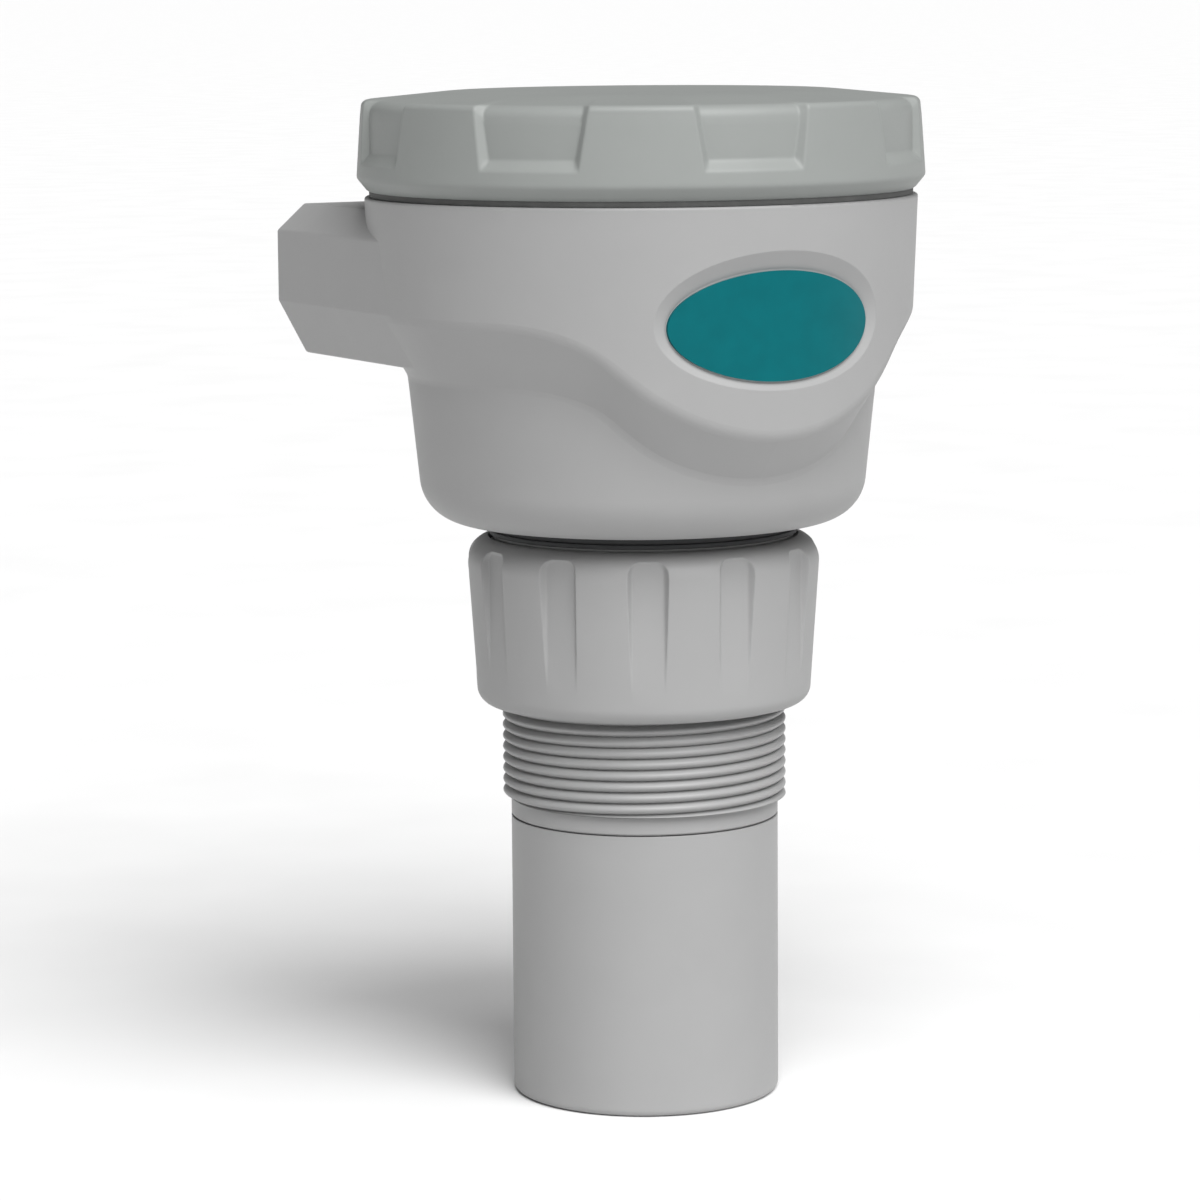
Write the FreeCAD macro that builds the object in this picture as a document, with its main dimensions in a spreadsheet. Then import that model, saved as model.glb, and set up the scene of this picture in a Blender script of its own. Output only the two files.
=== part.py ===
# Ultrasonic level transmitter: a screw-lid electronics head on a threaded ultrasonic sensor.
# Origin at the centre of the flat sensor face, +Z up the axis, the label faces -Y and the two
# conduit bosses point along +Y. All sizes are millimetres.
import FreeCAD, Part
import math
import os
import re
import Sketcher

V = FreeCAD.Vector
doc = FreeCAD.newDocument("LevelTransmitter")
sheet = doc.addObject("Spreadsheet::Sheet", "Sizes")

# Driving dimensions, one named cell each.
DRIVING = {
    # sensor tube
    "tube_radius": 28.1,
    "tube_length": 59.0,
    "tube_edge": 1.3,
    "tube_bore": 23.3,
    "face_wall": 1.5,
    "spigot_radius": 25.2,
    "spigot_length": 8.0,
    # pieces sealed in the tube
    "matching_thickness": 3.0,
    "piezo_radius": 14.0,
    "piezo_thickness": 4.0,
    "damping_thickness": 7.5,
    "backing_thickness": 14.0,
    "lead_radius": 1.5,
    "bead_radius": 2.0,
    "bead_length": 9.0,
    "bead_offset": 18.0,
    "bead_rise": 6.0,
    "seat_gap": 0.1,
    # process connection
    "seam_gap": 0.2,
    "ring_height": 4.0,
    "thread_radius": 29.8,
    "thread_length": 19.6,
    "connection_bore": 25.4,
    "relief_radius": 28.4,
    "flange_radius": 32.2,
    "flange_thickness": 6.0,
    "plug_base_radius": 12.0,
    "plug_base_height": 5.0,
    "plug_pin_radius": 4.0,
    "plug_pin_length": 13.0,
    # union nut and its gasket
    "running_gap": 0.3,
    "lead_in": 0.8,
    "nut_height": 35.7,
    "nut_foot_radius": 34.85,
    "nut_top_radius": 36.95,
    "nut_shoulder": 5.4,
    "nut_corner": 3.4,
    "nut_wall": 4.1,
    "lip_height": 16.6,
    "flute_count": 12,
    "flute_width": 8.3,
    "flute_floor": 35.2,
    "flute_corner": 2.2,
    "flute_land": 1.8,
    "flute_reach": 10.0,
    "flute_turn": -28.0,
    "gasket_thickness": 2.0,
    "gasket_width": 5.5,
    # how far a cutting tool runs on beyond the face that it cuts
    "overrun": 1.0,
    # housing
    "stub_radius": 31.5,
    "stub_bore": 25.0,
    "seal_radius": 34.1,
    "cup_gap": 2.5,
    "cup_foot_radius": 45.75,
    "cup_foot_rise": 1.2,
    "cup_brim_radius": 50.2,
    "cup_corner": 9.5,
    "cup_inset": 2.0,
    "cup_floor": 4.0,
    "ledge_width": 5.0,
    "ledge_height": 5.5,
    "lip_radius": 57.3,
    "lip_rise": 67.9,
    "lip_edge": 0.5,
    "wide_draft": 0.0413,
    "wide_start": 5.0,
    "ridge_drop": 23.9,
    "bib_drop": 21.0,
    "bib_arc": 46.0,
    "bib_blend": 23.3,
    "side_slope": 1.75,
    "front_slope": 1.12,
    "slope_angle": 58.0,
    "ridge_round": 4.0,
    "valley_round": 3.0,
    "underside_margin": 3.0,
    "neck_step": 4.3,
    "neck_wall": 2.7,
    "neck_height": 14.0,
    "thread_height": 1.0,
    # conduit bosses
    "boss_offset": 41.0,
    "boss_drop": 18.6,
    "boss_half_width": 15.2,
    "boss_flat_half": 8.8,
    "boss_top_rise": 15.9,
    "boss_top_bevel": 5.5,
    "boss_bottom_drop": 16.0,
    "boss_bottom_bevel": 11.5,
    "boss_reach": 58.5,
    "boss_edge": 1.0,
    "entry_radius": 10.0,
    "entry_depth": 18.5,
    "passage_radius": 7.4,
    "passage_end": 14.0,
    # label and its recess
    "label_drop": 23.8,
    "label_half_width": 22.9,
    "label_half_height": 10.95,
    "label_thickness": 0.6,
    "label_gap": 0.3,
    "recess_depth": 2.3,
    "bezel_slope": 1.9,
    "bezel_sweep": 10.3,
    # pieces inside the head
    "socket_flange": 4.0,
    "socket_rise": 2.0,
    "socket_tube_radius": 7.5,
    "socket_tube_length": 12.0,
    "socket_tube_gap": 0.5,
    "board_thickness": 1.6,
    "board_gap": 16.0,
    "power_board_radius": 40.0,
    "spacer_radius": 2.6,
    "spacer_circle": 34.0,
    "deck_thickness": 3.0,
    "deck_drop": 26.2,
    "screw_circle": 47.0,
    "screw_radius": 1.5,
    "screw_head_radius": 2.9,
    "screw_head_height": 2.2,
    "screw_length": 9.0,
    "display_width": 54.0,
    "display_depth": 31.0,
    "display_height": 26.0,
    "display_front": -40.0,
    "display_edge": 2.0,
    "window_width": 42.0,
    "window_depth": 15.0,
    "window_thickness": 1.5,
    "window_margin": 3.0,
    "button_radius": 3.4,
    "button_well": 3.7,
    "button_pitch": 11.0,
    "button_row": -14.5,
    "button_height": 5.0,
    "button_proud": 1.4,
    "button_travel": 0.6,
    "terminal_width": 42.0,
    "terminal_depth": 14.0,
    "terminal_height": 13.0,
    "terminal_front": 13.0,
    "terminal_pitch": 6.4,
    "terminal_screw_radius": 2.2,
    "terminal_screw_depth": 3.0,
    "terminal_screw_line": 5.0,
    "terminal_screw_sink": 0.6,
    "terminal_wire_radius": 1.8,
    "terminal_wire_depth": 8.0,
    "terminal_wire_rise": 5.0,
    # lid and its seal
    "lid_gap": 1.2,
    "lid_foot_bevel": 2.7,
    "lid_foot_inset": 2.45,
    "lid_wall": 4.55,
    "lid_wall_rise": 18.6,
    "lid_wall_lean": 1.1,
    "lid_disc_inset": 17.75,
    "lid_height": 20.3,
    "lid_edge": 1.4,
    "lid_roof": 3.4,
    "notch_count": 8,
    "notch_turn": -6.9,
    "notch_recess": 2.3,
    "notch_floor_lean": 0.4,
    "notch_floor_drop": 0.7,
    "notch_sill_rise": 5.8,
    "notch_half_width": 11.4,
    "notch_shoulder_half": 10.2,
    "notch_step": 0.12,
    "notch_flare": 0.155,
    "notch_side_bevel": 0.85,
    "notch_sill_bevel": 1.25,
    "notch_reach": 3.0,
    "notch_depth": 5.0,
    "notch_headroom": 6.0,
    "notch_end_inset": 11.25,
    "notch_end_overlap": 0.5,
}

# Sizes that follow from the driving ones, as formulas in the same sheet.
FOLLOWING = {
    "spigot_top": "tube_length + spigot_length",
    "inner_disc_radius": "tube_bore - seat_gap",
    "matching_top": "face_wall + matching_thickness",
    "piezo_top": "matching_top + piezo_thickness",
    "damping_bore": "piezo_radius + seat_gap",
    "damping_top": "matching_top + damping_thickness",
    "backing_top": "damping_top + backing_thickness",
    "lead_hole": "lead_radius + seat_gap",
    "ring_bottom": "tube_length + seam_gap",
    "thread_start": "ring_bottom + ring_height",
    "thread_end": "thread_start + thread_length",
    "nut_bottom": "thread_end + running_gap",
    "nut_top": "nut_bottom + nut_height",
    "nut_bore": "thread_radius + running_gap",
    "nut_mouth_radius": "nut_bore + lead_in",
    "nut_mouth_top": "nut_bottom + lead_in",
    "nut_lip_top": "nut_bottom + lip_height",
    "nut_chamber_radius": "nut_top_radius - nut_wall",
    "flange_bottom": "nut_lip_top + running_gap",
    "flange_top": "flange_bottom + flange_thickness",
    "gasket_top": "flange_top + gasket_thickness",
    "gasket_bore": "flange_radius - gasket_width",
    "potting_radius": "connection_bore - seat_gap",
    "plug_base_bottom": "flange_top - plug_base_height",
    "plug_base_top": "flange_top",
    "plug_pin_top": "plug_base_top + plug_pin_length",
    "cup_bottom": "nut_top + cup_gap",
    "stub_mouth_radius": "stub_radius - lead_in",
    "stub_mouth_top": "gasket_top + lead_in",
    "stub_root": "cup_bottom + overrun",
    "cup_foot": "cup_bottom + cup_foot_rise",
    "lip_top": "cup_bottom + lip_rise",
    "ridge_level": "lip_top - ridge_drop",
    "ridge_radius": "lip_radius - ridge_drop * wide_draft",
    "seal_bottom": "nut_top + seat_gap",
    "cavity_floor": "cup_bottom + cup_floor",
    "ledge_top": "cavity_floor + ledge_height",
    "cup_cavity_radius": "cup_foot_radius - cup_inset",
    "ledge_radius": "cup_cavity_radius - ledge_width",
    "wide_bottom": "cup_bottom + wide_start",
    "wide_bottom_radius": "lip_radius - (lip_top - wide_bottom) * wide_draft",
    "underside_outer_radius": "lip_radius + underside_margin",
    "underside_inner_radius": "cup_foot_radius - 2 * underside_margin",
    "neck_radius": "lip_radius - neck_step",
    "neck_mouth_radius": "neck_radius - lead_in",
    "neck_root": "lip_top - overrun",
    "neck_top": "lip_top + neck_height",
    "neck_mouth_foot": "neck_top - lead_in",
    "cavity_radius": "neck_radius - neck_wall",
    "boss_level": "lip_top - boss_drop",
    "label_level": "lip_top - label_drop",
    "recess_floor": "lip_radius - recess_depth",
    "socket_bottom": "gasket_top + socket_rise",
    "socket_top": "socket_bottom + socket_flange",
    "socket_tube_bottom": "gasket_top + socket_tube_gap",
    "socket_tube_top": "socket_tube_bottom + socket_tube_length",
    "socket_radius": "stub_bore - seat_gap",
    "socket_bore": "plug_pin_radius + running_gap",
    "main_board_radius": "cup_cavity_radius - running_gap",
    "main_board_top": "ledge_top + board_thickness",
    "power_board_bottom": "main_board_top + board_gap",
    "power_board_top": "power_board_bottom + board_thickness",
    "deck_radius": "cavity_radius - running_gap",
    "deck_level": "lip_top - deck_drop",
    "deck_top": "deck_level + deck_thickness",
    "display_top": "deck_top + display_height",
    "terminal_top": "deck_top + terminal_height",
    "lid_foot": "lip_top + lid_gap",
    "lid_rim": "lid_foot + lid_foot_bevel",
    "lid_bore": "neck_radius + thread_height + running_gap",
    "lid_rim_radius": "lid_bore + lid_wall",
    "lid_foot_radius": "lid_rim_radius - lid_foot_inset",
    "lid_wall_radius": "lid_rim_radius - lid_wall_lean",
    "lid_wall_top": "lid_foot + lid_wall_rise",
    "lid_disc_radius": "lid_wall_radius - lid_disc_inset",
    "lid_disc_level": "lid_foot + lid_height",
    "lid_ceiling": "lid_disc_level - lid_roof",
    "shoulder_slope": "(lid_disc_level - lid_wall_top) / lid_disc_inset",
    "notch_end_radius": "lid_wall_radius - notch_end_inset",
    "notch_end_level": "lid_disc_level - (notch_end_radius - lid_disc_radius) * shoulder_slope",
    "floor_level": "notch_end_level - notch_step",
    "floor_root": "lid_ceiling - overrun",
    "shoulder_inner_radius": "notch_end_radius - notch_end_overlap",
    "floor_edge": "lid_wall_top - notch_floor_drop",
    "notch_sill": "lid_foot + notch_sill_rise",
    "notch_floor_radius": "lid_rim_radius - notch_recess",
    "floor_outer_radius": "notch_floor_radius + notch_floor_lean",
    "floor_bottom": "notch_sill - 2 * overrun",
    "seal_ring_bottom": "lip_top + seat_gap",
    "seal_ring_radius": "lid_foot_radius - seat_gap",
}


def fill_sheet():
    """Write the driving numbers and then the formulas, each with its alias."""
    row = 1
    for alias, number in DRIVING.items():
        sheet.set("A%d" % row, alias)
        sheet.set("B%d" % row, str(number))
        sheet.setAlias("B%d" % row, alias)
        row += 1
    for alias, formula in FOLLOWING.items():
        sheet.set("A%d" % row, alias)
        sheet.set("B%d" % row, "=" + formula)
        sheet.setAlias("B%d" % row, alias)
        row += 1
    doc.recompute()


fill_sheet()


def size(alias):
    """Number that a cell of the sheet holds."""
    return float(sheet.get(alias))


def bound(text):
    """Expression text in which every alias names its cell of the sheet."""
    def cell(match):
        word = match.group(0)
        known = word in DRIVING or word in FOLLOWING
        return "Sizes." + word if known else word
    return re.sub(r"[a-z_]+", cell, text)


def bind(thing, prop, text):
    """Tie one property of an object to the sheet."""
    thing.setExpression(prop, bound(text))


def new(kind, label):
    """Object of the document with its label."""
    thing = doc.addObject(kind, label)
    thing.Label = label
    return thing


def origin_plane(body, role):
    for feature in body.Origin.OriginFeatures:
        if feature.Role == role:
            return feature
    raise RuntimeError("no plane " + role)


def hold_outline(sketch, corners):
    """Closed straight outline whose corners are held by cells; None is a zero coordinate."""
    def place(alias):
        return size(alias) if alias else 0.0
    points = [V(place(across), place(up), 0) for across, up in corners]
    count = len(points)
    for index, point in enumerate(points):
        sketch.addGeometry(Part.LineSegment(point, points[(index + 1) % count]), False)
    for index in range(count):
        sketch.addConstraint(Sketcher.Constraint("Coincident", index, 2, (index + 1) % count, 1))
    for index, (across, up) in enumerate(corners):
        hold_corner(sketch, index, "DistanceX", across)
        hold_corner(sketch, index, "DistanceY", up)


def hold_corner(sketch, index, kind, alias):
    """Hold the start point of one line at a cell's distance from the sketch origin."""
    if not alias:
        axis = -2 if kind == "DistanceX" else -1
        sketch.addConstraint(Sketcher.Constraint("PointOnObject", index, 1, axis))
        return
    number = sketch.addConstraint(Sketcher.Constraint(kind, -1, 1, index, 1, size(alias)))
    name = "%s_%d" % (kind, index)
    sketch.renameConstraint(number, name)
    bind(sketch, "Constraints." + name, alias)


def body_outline(body, name, corners, role="XZ_Plane"):
    sketch = body.newObject("Sketcher::SketchObject", name)
    sketch.AttachmentSupport = [(origin_plane(body, role), "")]
    sketch.MapMode = "FlatFace"
    hold_outline(sketch, corners)
    return sketch


def turned(body, kind, name, corners):
    """Add or take away a form of revolution about the Z axis."""
    sketch = body_outline(body, name + "_outline", corners)
    feature = body.newObject(kind, name)
    feature.Profile = sketch
    feature.ReferenceAxis = (sketch, ["V_Axis"])
    feature.Angle = 360
    doc.recompute()
    return feature


def turned_body(label, corners):
    """Sub-part that is one turned or moulded ring, disc or cup."""
    body = new("PartDesign::Body", label)
    turned(body, "PartDesign::Revolution", label + "_turned", corners)
    return body


def rim_edges(shape, radius, level):
    """Numbers of the full circles about Z at one radius and level."""
    numbers = []
    for number, edge in enumerate(shape.Edges, 1):
        curve = edge.Curve
        if curve.TypeId != "Part::GeomCircle":
            continue
        if abs(curve.Center.x) + abs(curve.Center.y) > 0.01:
            continue
        if abs(curve.Radius - radius) < 0.01 and abs(curve.Center.z - level) < 0.01:
            numbers.append(number)
    return numbers


def round_rim(body, name, radius_alias, level_alias, round_alias):
    """Round a circular edge of the body's last feature."""
    last = body.Tip
    level = size(level_alias) if level_alias else 0.0
    fillet = body.newObject("PartDesign::Fillet", name)
    rims = rim_edges(last.Shape, size(radius_alias), level)
    fillet.Base = (last, ["Edge%d" % number for number in rims])
    bind(fillet, "Radius", round_alias)
    doc.recompute()
    return fillet


def cylinder(label, radius, height, place):
    """Part cylinder along Z; place is three expressions for its foot."""
    rod = new("Part::Cylinder", label)
    bind(rod, "Radius", radius)
    bind(rod, "Height", height)
    for axis, text in zip("xyz", place):
        bind(rod, ".Placement.Base." + axis, text)
    return rod


def box(label, spans, place):
    """Part box; spans and place are expressions."""
    block = new("Part::Box", label)
    for prop, text in zip(("Length", "Width", "Height"), spans):
        bind(block, prop, text)
    for axis, text in zip("xyz", place):
        bind(block, ".Placement.Base." + axis, text)
    return block


def fused(label, pieces):
    whole = new("Part::MultiFuse", label)
    whole.Shapes = pieces
    return whole


def cut(label, base, tool):
    rest = new("Part::Cut", label)
    rest.Base = base
    rest.Tool = tool
    return rest


def group(label, pieces):
    """Several equal separate solids in one sub-part."""
    whole = new("Part::Compound", label)
    whole.Links = pieces
    return whole


def fixed_outline(label, corners):
    """Free sketch in the XZ plane, for the Part features."""
    sketch = new("Sketcher::SketchObject", label)
    sketch.Placement = FreeCAD.Placement(V(0, 0, 0), FreeCAD.Rotation(V(1, 0, 0), 90))
    hold_outline(sketch, corners)
    return sketch


def part_turned(label, corners):
    """Part revolution about Z of an outline in the XZ plane."""
    form = new("Part::Revolution", label)
    form.Source = fixed_outline(label + "_outline", corners)
    form.Axis = V(0, 0, 1)
    form.Base = V(0, 0, 0)
    form.Angle = 360
    form.Solid = True
    return form


def rounded(label, base, edges, radius):
    """Part fillet of the given edge numbers."""
    form = new("Part::Fillet", label)
    form.Base = base
    form.Edges = [(number, radius, radius) for number in edges]
    doc.recompute()
    return form


# Ultrasonic sensor: a closed plastic cup with the sound emitter potted in it.

def make_transducer_cup():
    body = turned_body("transducer_cup", [
        (None, None), ("tube_radius", None), ("tube_radius", "tube_length"),
        ("spigot_radius", "tube_length"), ("spigot_radius", "spigot_top"),
        ("tube_bore", "spigot_top"), ("tube_bore", "face_wall"), (None, "face_wall")])
    round_rim(body, "face_edge", "tube_radius", None, "tube_edge")
    return body


def make_matching_layer():
    return turned_body("matching_layer", [
        (None, "face_wall"), ("inner_disc_radius", "face_wall"),
        ("inner_disc_radius", "matching_top"), (None, "matching_top")])


def make_piezo_disc():
    return turned_body("piezo_disc", [
        (None, "matching_top"), ("piezo_radius", "matching_top"),
        ("piezo_radius", "piezo_top"), (None, "piezo_top")])


def make_damping_ring():
    return turned_body("damping_ring", [
        ("damping_bore", "matching_top"), ("inner_disc_radius", "matching_top"),
        ("inner_disc_radius", "damping_top"), ("damping_bore", "damping_top")])


def make_backing_foam():
    return turned_body("backing_foam", [
        ("lead_hole", "piezo_top"), ("piezo_radius", "piezo_top"),
        ("piezo_radius", "damping_top"), ("inner_disc_radius", "damping_top"),
        ("inner_disc_radius", "backing_top"), ("lead_hole", "backing_top")])


def make_sensor_lead():
    return cylinder("sensor_lead", "lead_radius", "plug_base_bottom - piezo_top",
                    ("0", "0", "piezo_top"))


def make_temperature_sensor():
    return cylinder("temperature_sensor", "bead_radius", "bead_length",
                    ("bead_offset", "0", "backing_top + bead_rise"))


def make_potting():
    resin = part_turned("potting_block", [
        ("lead_hole", "backing_top"), ("inner_disc_radius", "backing_top"),
        ("inner_disc_radius", "spigot_top"), ("potting_radius", "spigot_top"),
        ("potting_radius", "plug_base_bottom"), ("lead_hole", "plug_base_bottom")])
    pocket = cylinder("bead_pocket", "bead_radius", "bead_length",
                      ("bead_offset", "0", "backing_top + bead_rise"))
    return cut("potting", resin, pocket)


def make_sensor_plug():
    return turned_body("sensor_plug", [
        (None, "plug_base_bottom"), ("plug_base_radius", "plug_base_bottom"),
        ("plug_base_radius", "plug_base_top"), ("plug_pin_radius", "plug_base_top"),
        ("plug_pin_radius", "plug_pin_top"), (None, "plug_pin_top")])


def make_process_connection():
    return turned_body("process_connection", [
        ("connection_bore", "ring_bottom"), ("tube_radius", "ring_bottom"),
        ("tube_radius", "thread_start"), ("thread_radius", "thread_start"),
        ("thread_radius", "thread_end"), ("relief_radius", "thread_end"),
        ("relief_radius", "flange_bottom"), ("flange_radius", "flange_bottom"),
        ("flange_radius", "flange_top"), ("connection_bore", "flange_top")])


# Union between the sensor and the head.

def make_union_gasket():
    return turned_body("union_gasket", [
        ("gasket_bore", "flange_top"), ("flange_radius", "flange_top"),
        ("flange_radius", "gasket_top"), ("gasket_bore", "gasket_top")])


def ring_of_tools(label, tool, count, turn):
    """Equal copies of one cutting tool, evenly spaced about the Z axis."""
    copies = []
    for index in range(count):
        copy = tool.Shape.copy()
        copy.rotate(V(0, 0, 0), V(0, 0, 1), turn + 360.0 * index / count)
        copies.append(copy)
    tools = new("Part::Feature", label)
    tools.Shape = Part.makeCompound(copies)
    return tools


def flute_tools():
    """Flat-floored flutes round the nut, each with rounded upper corners."""
    outline = new("Sketcher::SketchObject", "flute_outline")
    outline.Placement = FreeCAD.Placement(V(size("flute_floor"), 0, 0),
                                          FreeCAD.Rotation(V(1, 1, 1), 120))
    flute_lines(outline, size("flute_width") / 2, size("nut_bottom") - size("overrun"),
                size("nut_top") - size("flute_land"), size("flute_corner"))
    flute = new("Part::Extrusion", "flute")
    flute.Base = outline
    flute.DirMode = "Custom"
    flute.Dir = V(1, 0, 0)
    bind(flute, "LengthFwd", "flute_reach")
    flute.Solid = True
    doc.recompute()
    return ring_of_tools("flutes", flute, int(size("flute_count")), size("flute_turn") - 90)


def make_union_nut():
    """Tapered hand nut whose flutes fade out below, where the wall meets their floor."""
    blank = part_turned("nut_blank", [
        (None, "nut_bottom"), ("nut_foot_radius", "nut_bottom"),
        ("nut_top_radius", "nut_top"), (None, "nut_top")])
    doc.recompute()
    for word, radius, level, amount in (
            ("nut_foot_round", "nut_foot_radius", "nut_bottom", "nut_corner"),
            ("nut_shoulder_round", "nut_top_radius", "nut_top", "nut_shoulder")):
        edge = rim_edges(blank.Shape, size(radius), size(level))
        blank = rounded(word, blank, edge, size(amount))
    chamber = part_turned("nut_chamber", [
        (None, "nut_bottom"), ("nut_mouth_radius", "nut_bottom"),
        ("nut_bore", "nut_mouth_top"), ("nut_bore", "nut_lip_top"),
        ("nut_chamber_radius", "nut_lip_top"), ("nut_chamber_radius", "nut_top"),
        (None, "nut_top")])
    return cut("union_nut", cut("nut_hollow", blank, chamber), flute_tools())


def flute_lines(sketch, half, foot, top, corner):
    """Flute outline: two straight sides and a top with rounded corners."""
    sketch.addGeometry(Part.LineSegment(V(-half, foot, 0), V(half, foot, 0)), False)
    sketch.addGeometry(Part.LineSegment(V(half, foot, 0), V(half, top - corner, 0)), False)
    right = Part.Circle(V(half - corner, top - corner, 0), V(0, 0, 1), corner)
    sketch.addGeometry(Part.ArcOfCircle(right, 0, math.pi / 2), False)
    sketch.addGeometry(Part.LineSegment(V(half - corner, top, 0), V(corner - half, top, 0)), False)
    left = Part.Circle(V(corner - half, top - corner, 0), V(0, 0, 1), corner)
    sketch.addGeometry(Part.ArcOfCircle(left, math.pi / 2, math.pi), False)
    sketch.addGeometry(Part.LineSegment(V(-half, top - corner, 0), V(-half, foot, 0)), False)


# Head housing: a wide upper bowl whose wavy lower edge dips under the label, moulded in one
# with a narrower cup below, two conduit bosses behind and a threaded neck for the lid.

UNDERSIDE_POINTS = 72
BEZEL_POINTS = 36
EDGE_MARKS = 24
# An edge belongs to the ridge or to the valley if it stays this near to its usual radius.
RIDGE_SLACK = 2.0
VALLEY_OUT = 2.2
VALLEY_SLACK = 1.4
LEAST_WAVE = 2.0


def ridge_height(angle):
    """Level of the bowl's lower edge; in front it follows two arcs seen from the label side."""
    level = size("ridge_level")
    if math.cos(angle) <= 0:
        return level
    dip, arc, blend = size("bib_drop"), size("bib_arc"), size("bib_blend")
    across = abs(size("ridge_radius") * math.sin(angle))
    spread = arc + blend
    blend_centre = math.sqrt(spread ** 2 - (spread - dip) ** 2)
    if across >= blend_centre:
        return level
    if across >= blend_centre * arc / spread:
        return level - blend + math.sqrt(blend ** 2 - (blend_centre - across) ** 2)
    return level - dip + arc - math.sqrt(arc ** 2 - across ** 2)


def underside_slope(angle):
    """Steepness of the bowl's underside, gentler below the label than at the sides."""
    front, side = size("front_slope"), size("side_slope")
    reach = math.radians(size("slope_angle"))
    turn = min(abs(math.atan2(math.sin(angle), math.cos(angle))), reach)
    return front + (side - front) * (1 - math.cos(math.pi * turn / reach)) / 2


def closed_curve(label, spot, count):
    """Smooth closed curve through the spots that a function gives for one full turn."""
    curve = Part.BSplineCurve()
    points = [spot(2 * math.pi * step / count) for step in range(count)]
    curve.interpolate(Points=points, PeriodicFlag=True)
    thing = new("Part::Feature", label)
    thing.Shape = curve.toShape()
    return thing


def swept_surface(label, first, second, way, length):
    """Solid that a surface ruled between two curves sweeps when it moves one way."""
    surface = new("Part::RuledSurface", label + "_surface")
    surface.Curve1 = (first, ["Edge1"])
    surface.Curve2 = (second, ["Edge1"])
    solid = new("Part::Extrusion", label)
    solid.Base = surface
    solid.DirMode = "Custom"
    solid.Dir = way
    bind(solid, "LengthFwd", length)
    return solid


def underside_curve(label, radius):
    """Curve of the sloping underside at one radius; the angle runs from -Y towards +X."""
    def spot(angle):
        level = ridge_height(angle) + (radius - size("ridge_radius")) * underside_slope(angle)
        return V(radius * math.sin(angle), -radius * math.cos(angle), level)
    return closed_curve(label, spot, UNDERSIDE_POINTS)


def make_bowl():
    """Drafted bowl, cut off along the wavy sloping underside, with its ridge rounded."""
    blank = part_turned("bowl_blank", [
        (None, "wide_bottom"), ("wide_bottom_radius", "wide_bottom"),
        ("lip_radius", "lip_top"), (None, "lip_top")])
    doc.recompute()
    lip = rim_edges(blank.Shape, size("lip_radius"), size("lip_top"))
    blank = rounded("bowl_lip_rounded", blank, lip, size("lip_edge"))
    outer = underside_curve("underside_outer", size("underside_outer_radius"))
    inner = underside_curve("underside_inner", size("underside_inner_radius"))
    below = swept_surface("space_below", outer, inner, V(0, 0, -1), "lip_rise")
    bowl = cut("bowl", blank, below)
    doc.recompute()
    ridge = wavy_edges(bowl.Shape, size("ridge_radius"), RIDGE_SLACK)
    return rounded("bowl_rounded", bowl, ridge, size("ridge_round"))


def wavy_edges(shape, radius, slack):
    """Numbers of the edges that stay near one radius while their level rises and falls."""
    numbers = []
    for number, edge in enumerate(shape.Edges, 1):
        marks = edge.discretize(EDGE_MARKS)
        levels = [mark.z for mark in marks]
        near = all(abs(math.hypot(mark.x, mark.y) - radius) < slack for mark in marks)
        curved = edge.Curve.TypeId != "Part::GeomLine"
        wavy = curved and max(levels) - min(levels) > LEAST_WAVE
        if near and wavy:
            numbers.append(number)
    return numbers


def make_cup():
    """Narrow lower cup with a large rounded foot, and the stub that the nut grips."""
    cup = part_turned("cup_blank", [
        (None, "cup_bottom"), ("seal_radius", "cup_bottom"), ("cup_foot_radius", "cup_foot"),
        ("cup_brim_radius", "ridge_level"), (None, "ridge_level")])
    doc.recompute()
    foot = rim_edges(cup.Shape, size("cup_foot_radius"), size("cup_foot"))
    return rounded("cup", cup, foot, size("cup_corner"))


def make_boss(side):
    """Eight-sided conduit boss with soft edges, tangent to the bowl's side; side is +1 or -1."""
    half, flat = size("boss_half_width"), size("boss_flat_half")
    top = size("boss_level") + size("boss_top_rise")
    foot = size("boss_level") - size("boss_bottom_drop")
    upper = top - size("boss_top_bevel")
    lower = foot + size("boss_bottom_bevel")
    centre = size("boss_offset") * side
    outline = [(flat, top), (half, upper), (half, lower), (flat, foot),
               (-flat, foot), (-half, lower), (-half, upper), (-flat, top)]
    ring = [V(centre + across, 0, level) for across, level in outline]
    name = "boss_right" if side > 0 else "boss_left"
    boss = new("Part::Feature", name + "_blank")
    boss.Shape = Part.Face(Part.makePolygon(ring + ring[:1])).extrude(V(0, size("boss_reach"), 0))
    soft = [number for number, edge in enumerate(boss.Shape.Edges, 1)
            if max(end.Point.y for end in edge.Vertexes) > size("boss_reach") / 2]
    return rounded(name, boss, soft, size("boss_edge"))


def entry_tools(side):
    """Conduit entry with a bevelled mouth, and the narrower passage from it into the head."""
    name = "right" if side > 0 else "left"
    tools = []
    for word, radius, start, length in (
            ("entry_", "entry_radius", "boss_reach - entry_depth", "entry_depth + overrun"),
            ("passage_", "passage_radius", "passage_end",
             "boss_reach - entry_depth - passage_end + overrun")):
        rod = cylinder(word + name, radius, length, ("0", "0", "boss_level"))
        point_back(rod, side, start)
        tools.append(rod)
    mouth = new("Part::Cone", "mouth_" + name)
    bind(mouth, "Radius1", "entry_radius")
    bind(mouth, "Radius2", "entry_radius + 2 * lead_in")
    bind(mouth, "Height", "2 * lead_in")
    bind(mouth, ".Placement.Base.z", "boss_level")
    point_back(mouth, side, "boss_reach - lead_in")
    return tools + [mouth]


def point_back(tool, side, start):
    """Lay a tool along +Y on the axis of one boss, from a start expression."""
    tool.Placement.Rotation = FreeCAD.Rotation(V(1, 0, 0), -90)
    bind(tool, ".Placement.Base.x", "boss_offset * %d" % side)
    bind(tool, ".Placement.Base.y", start)


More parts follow.
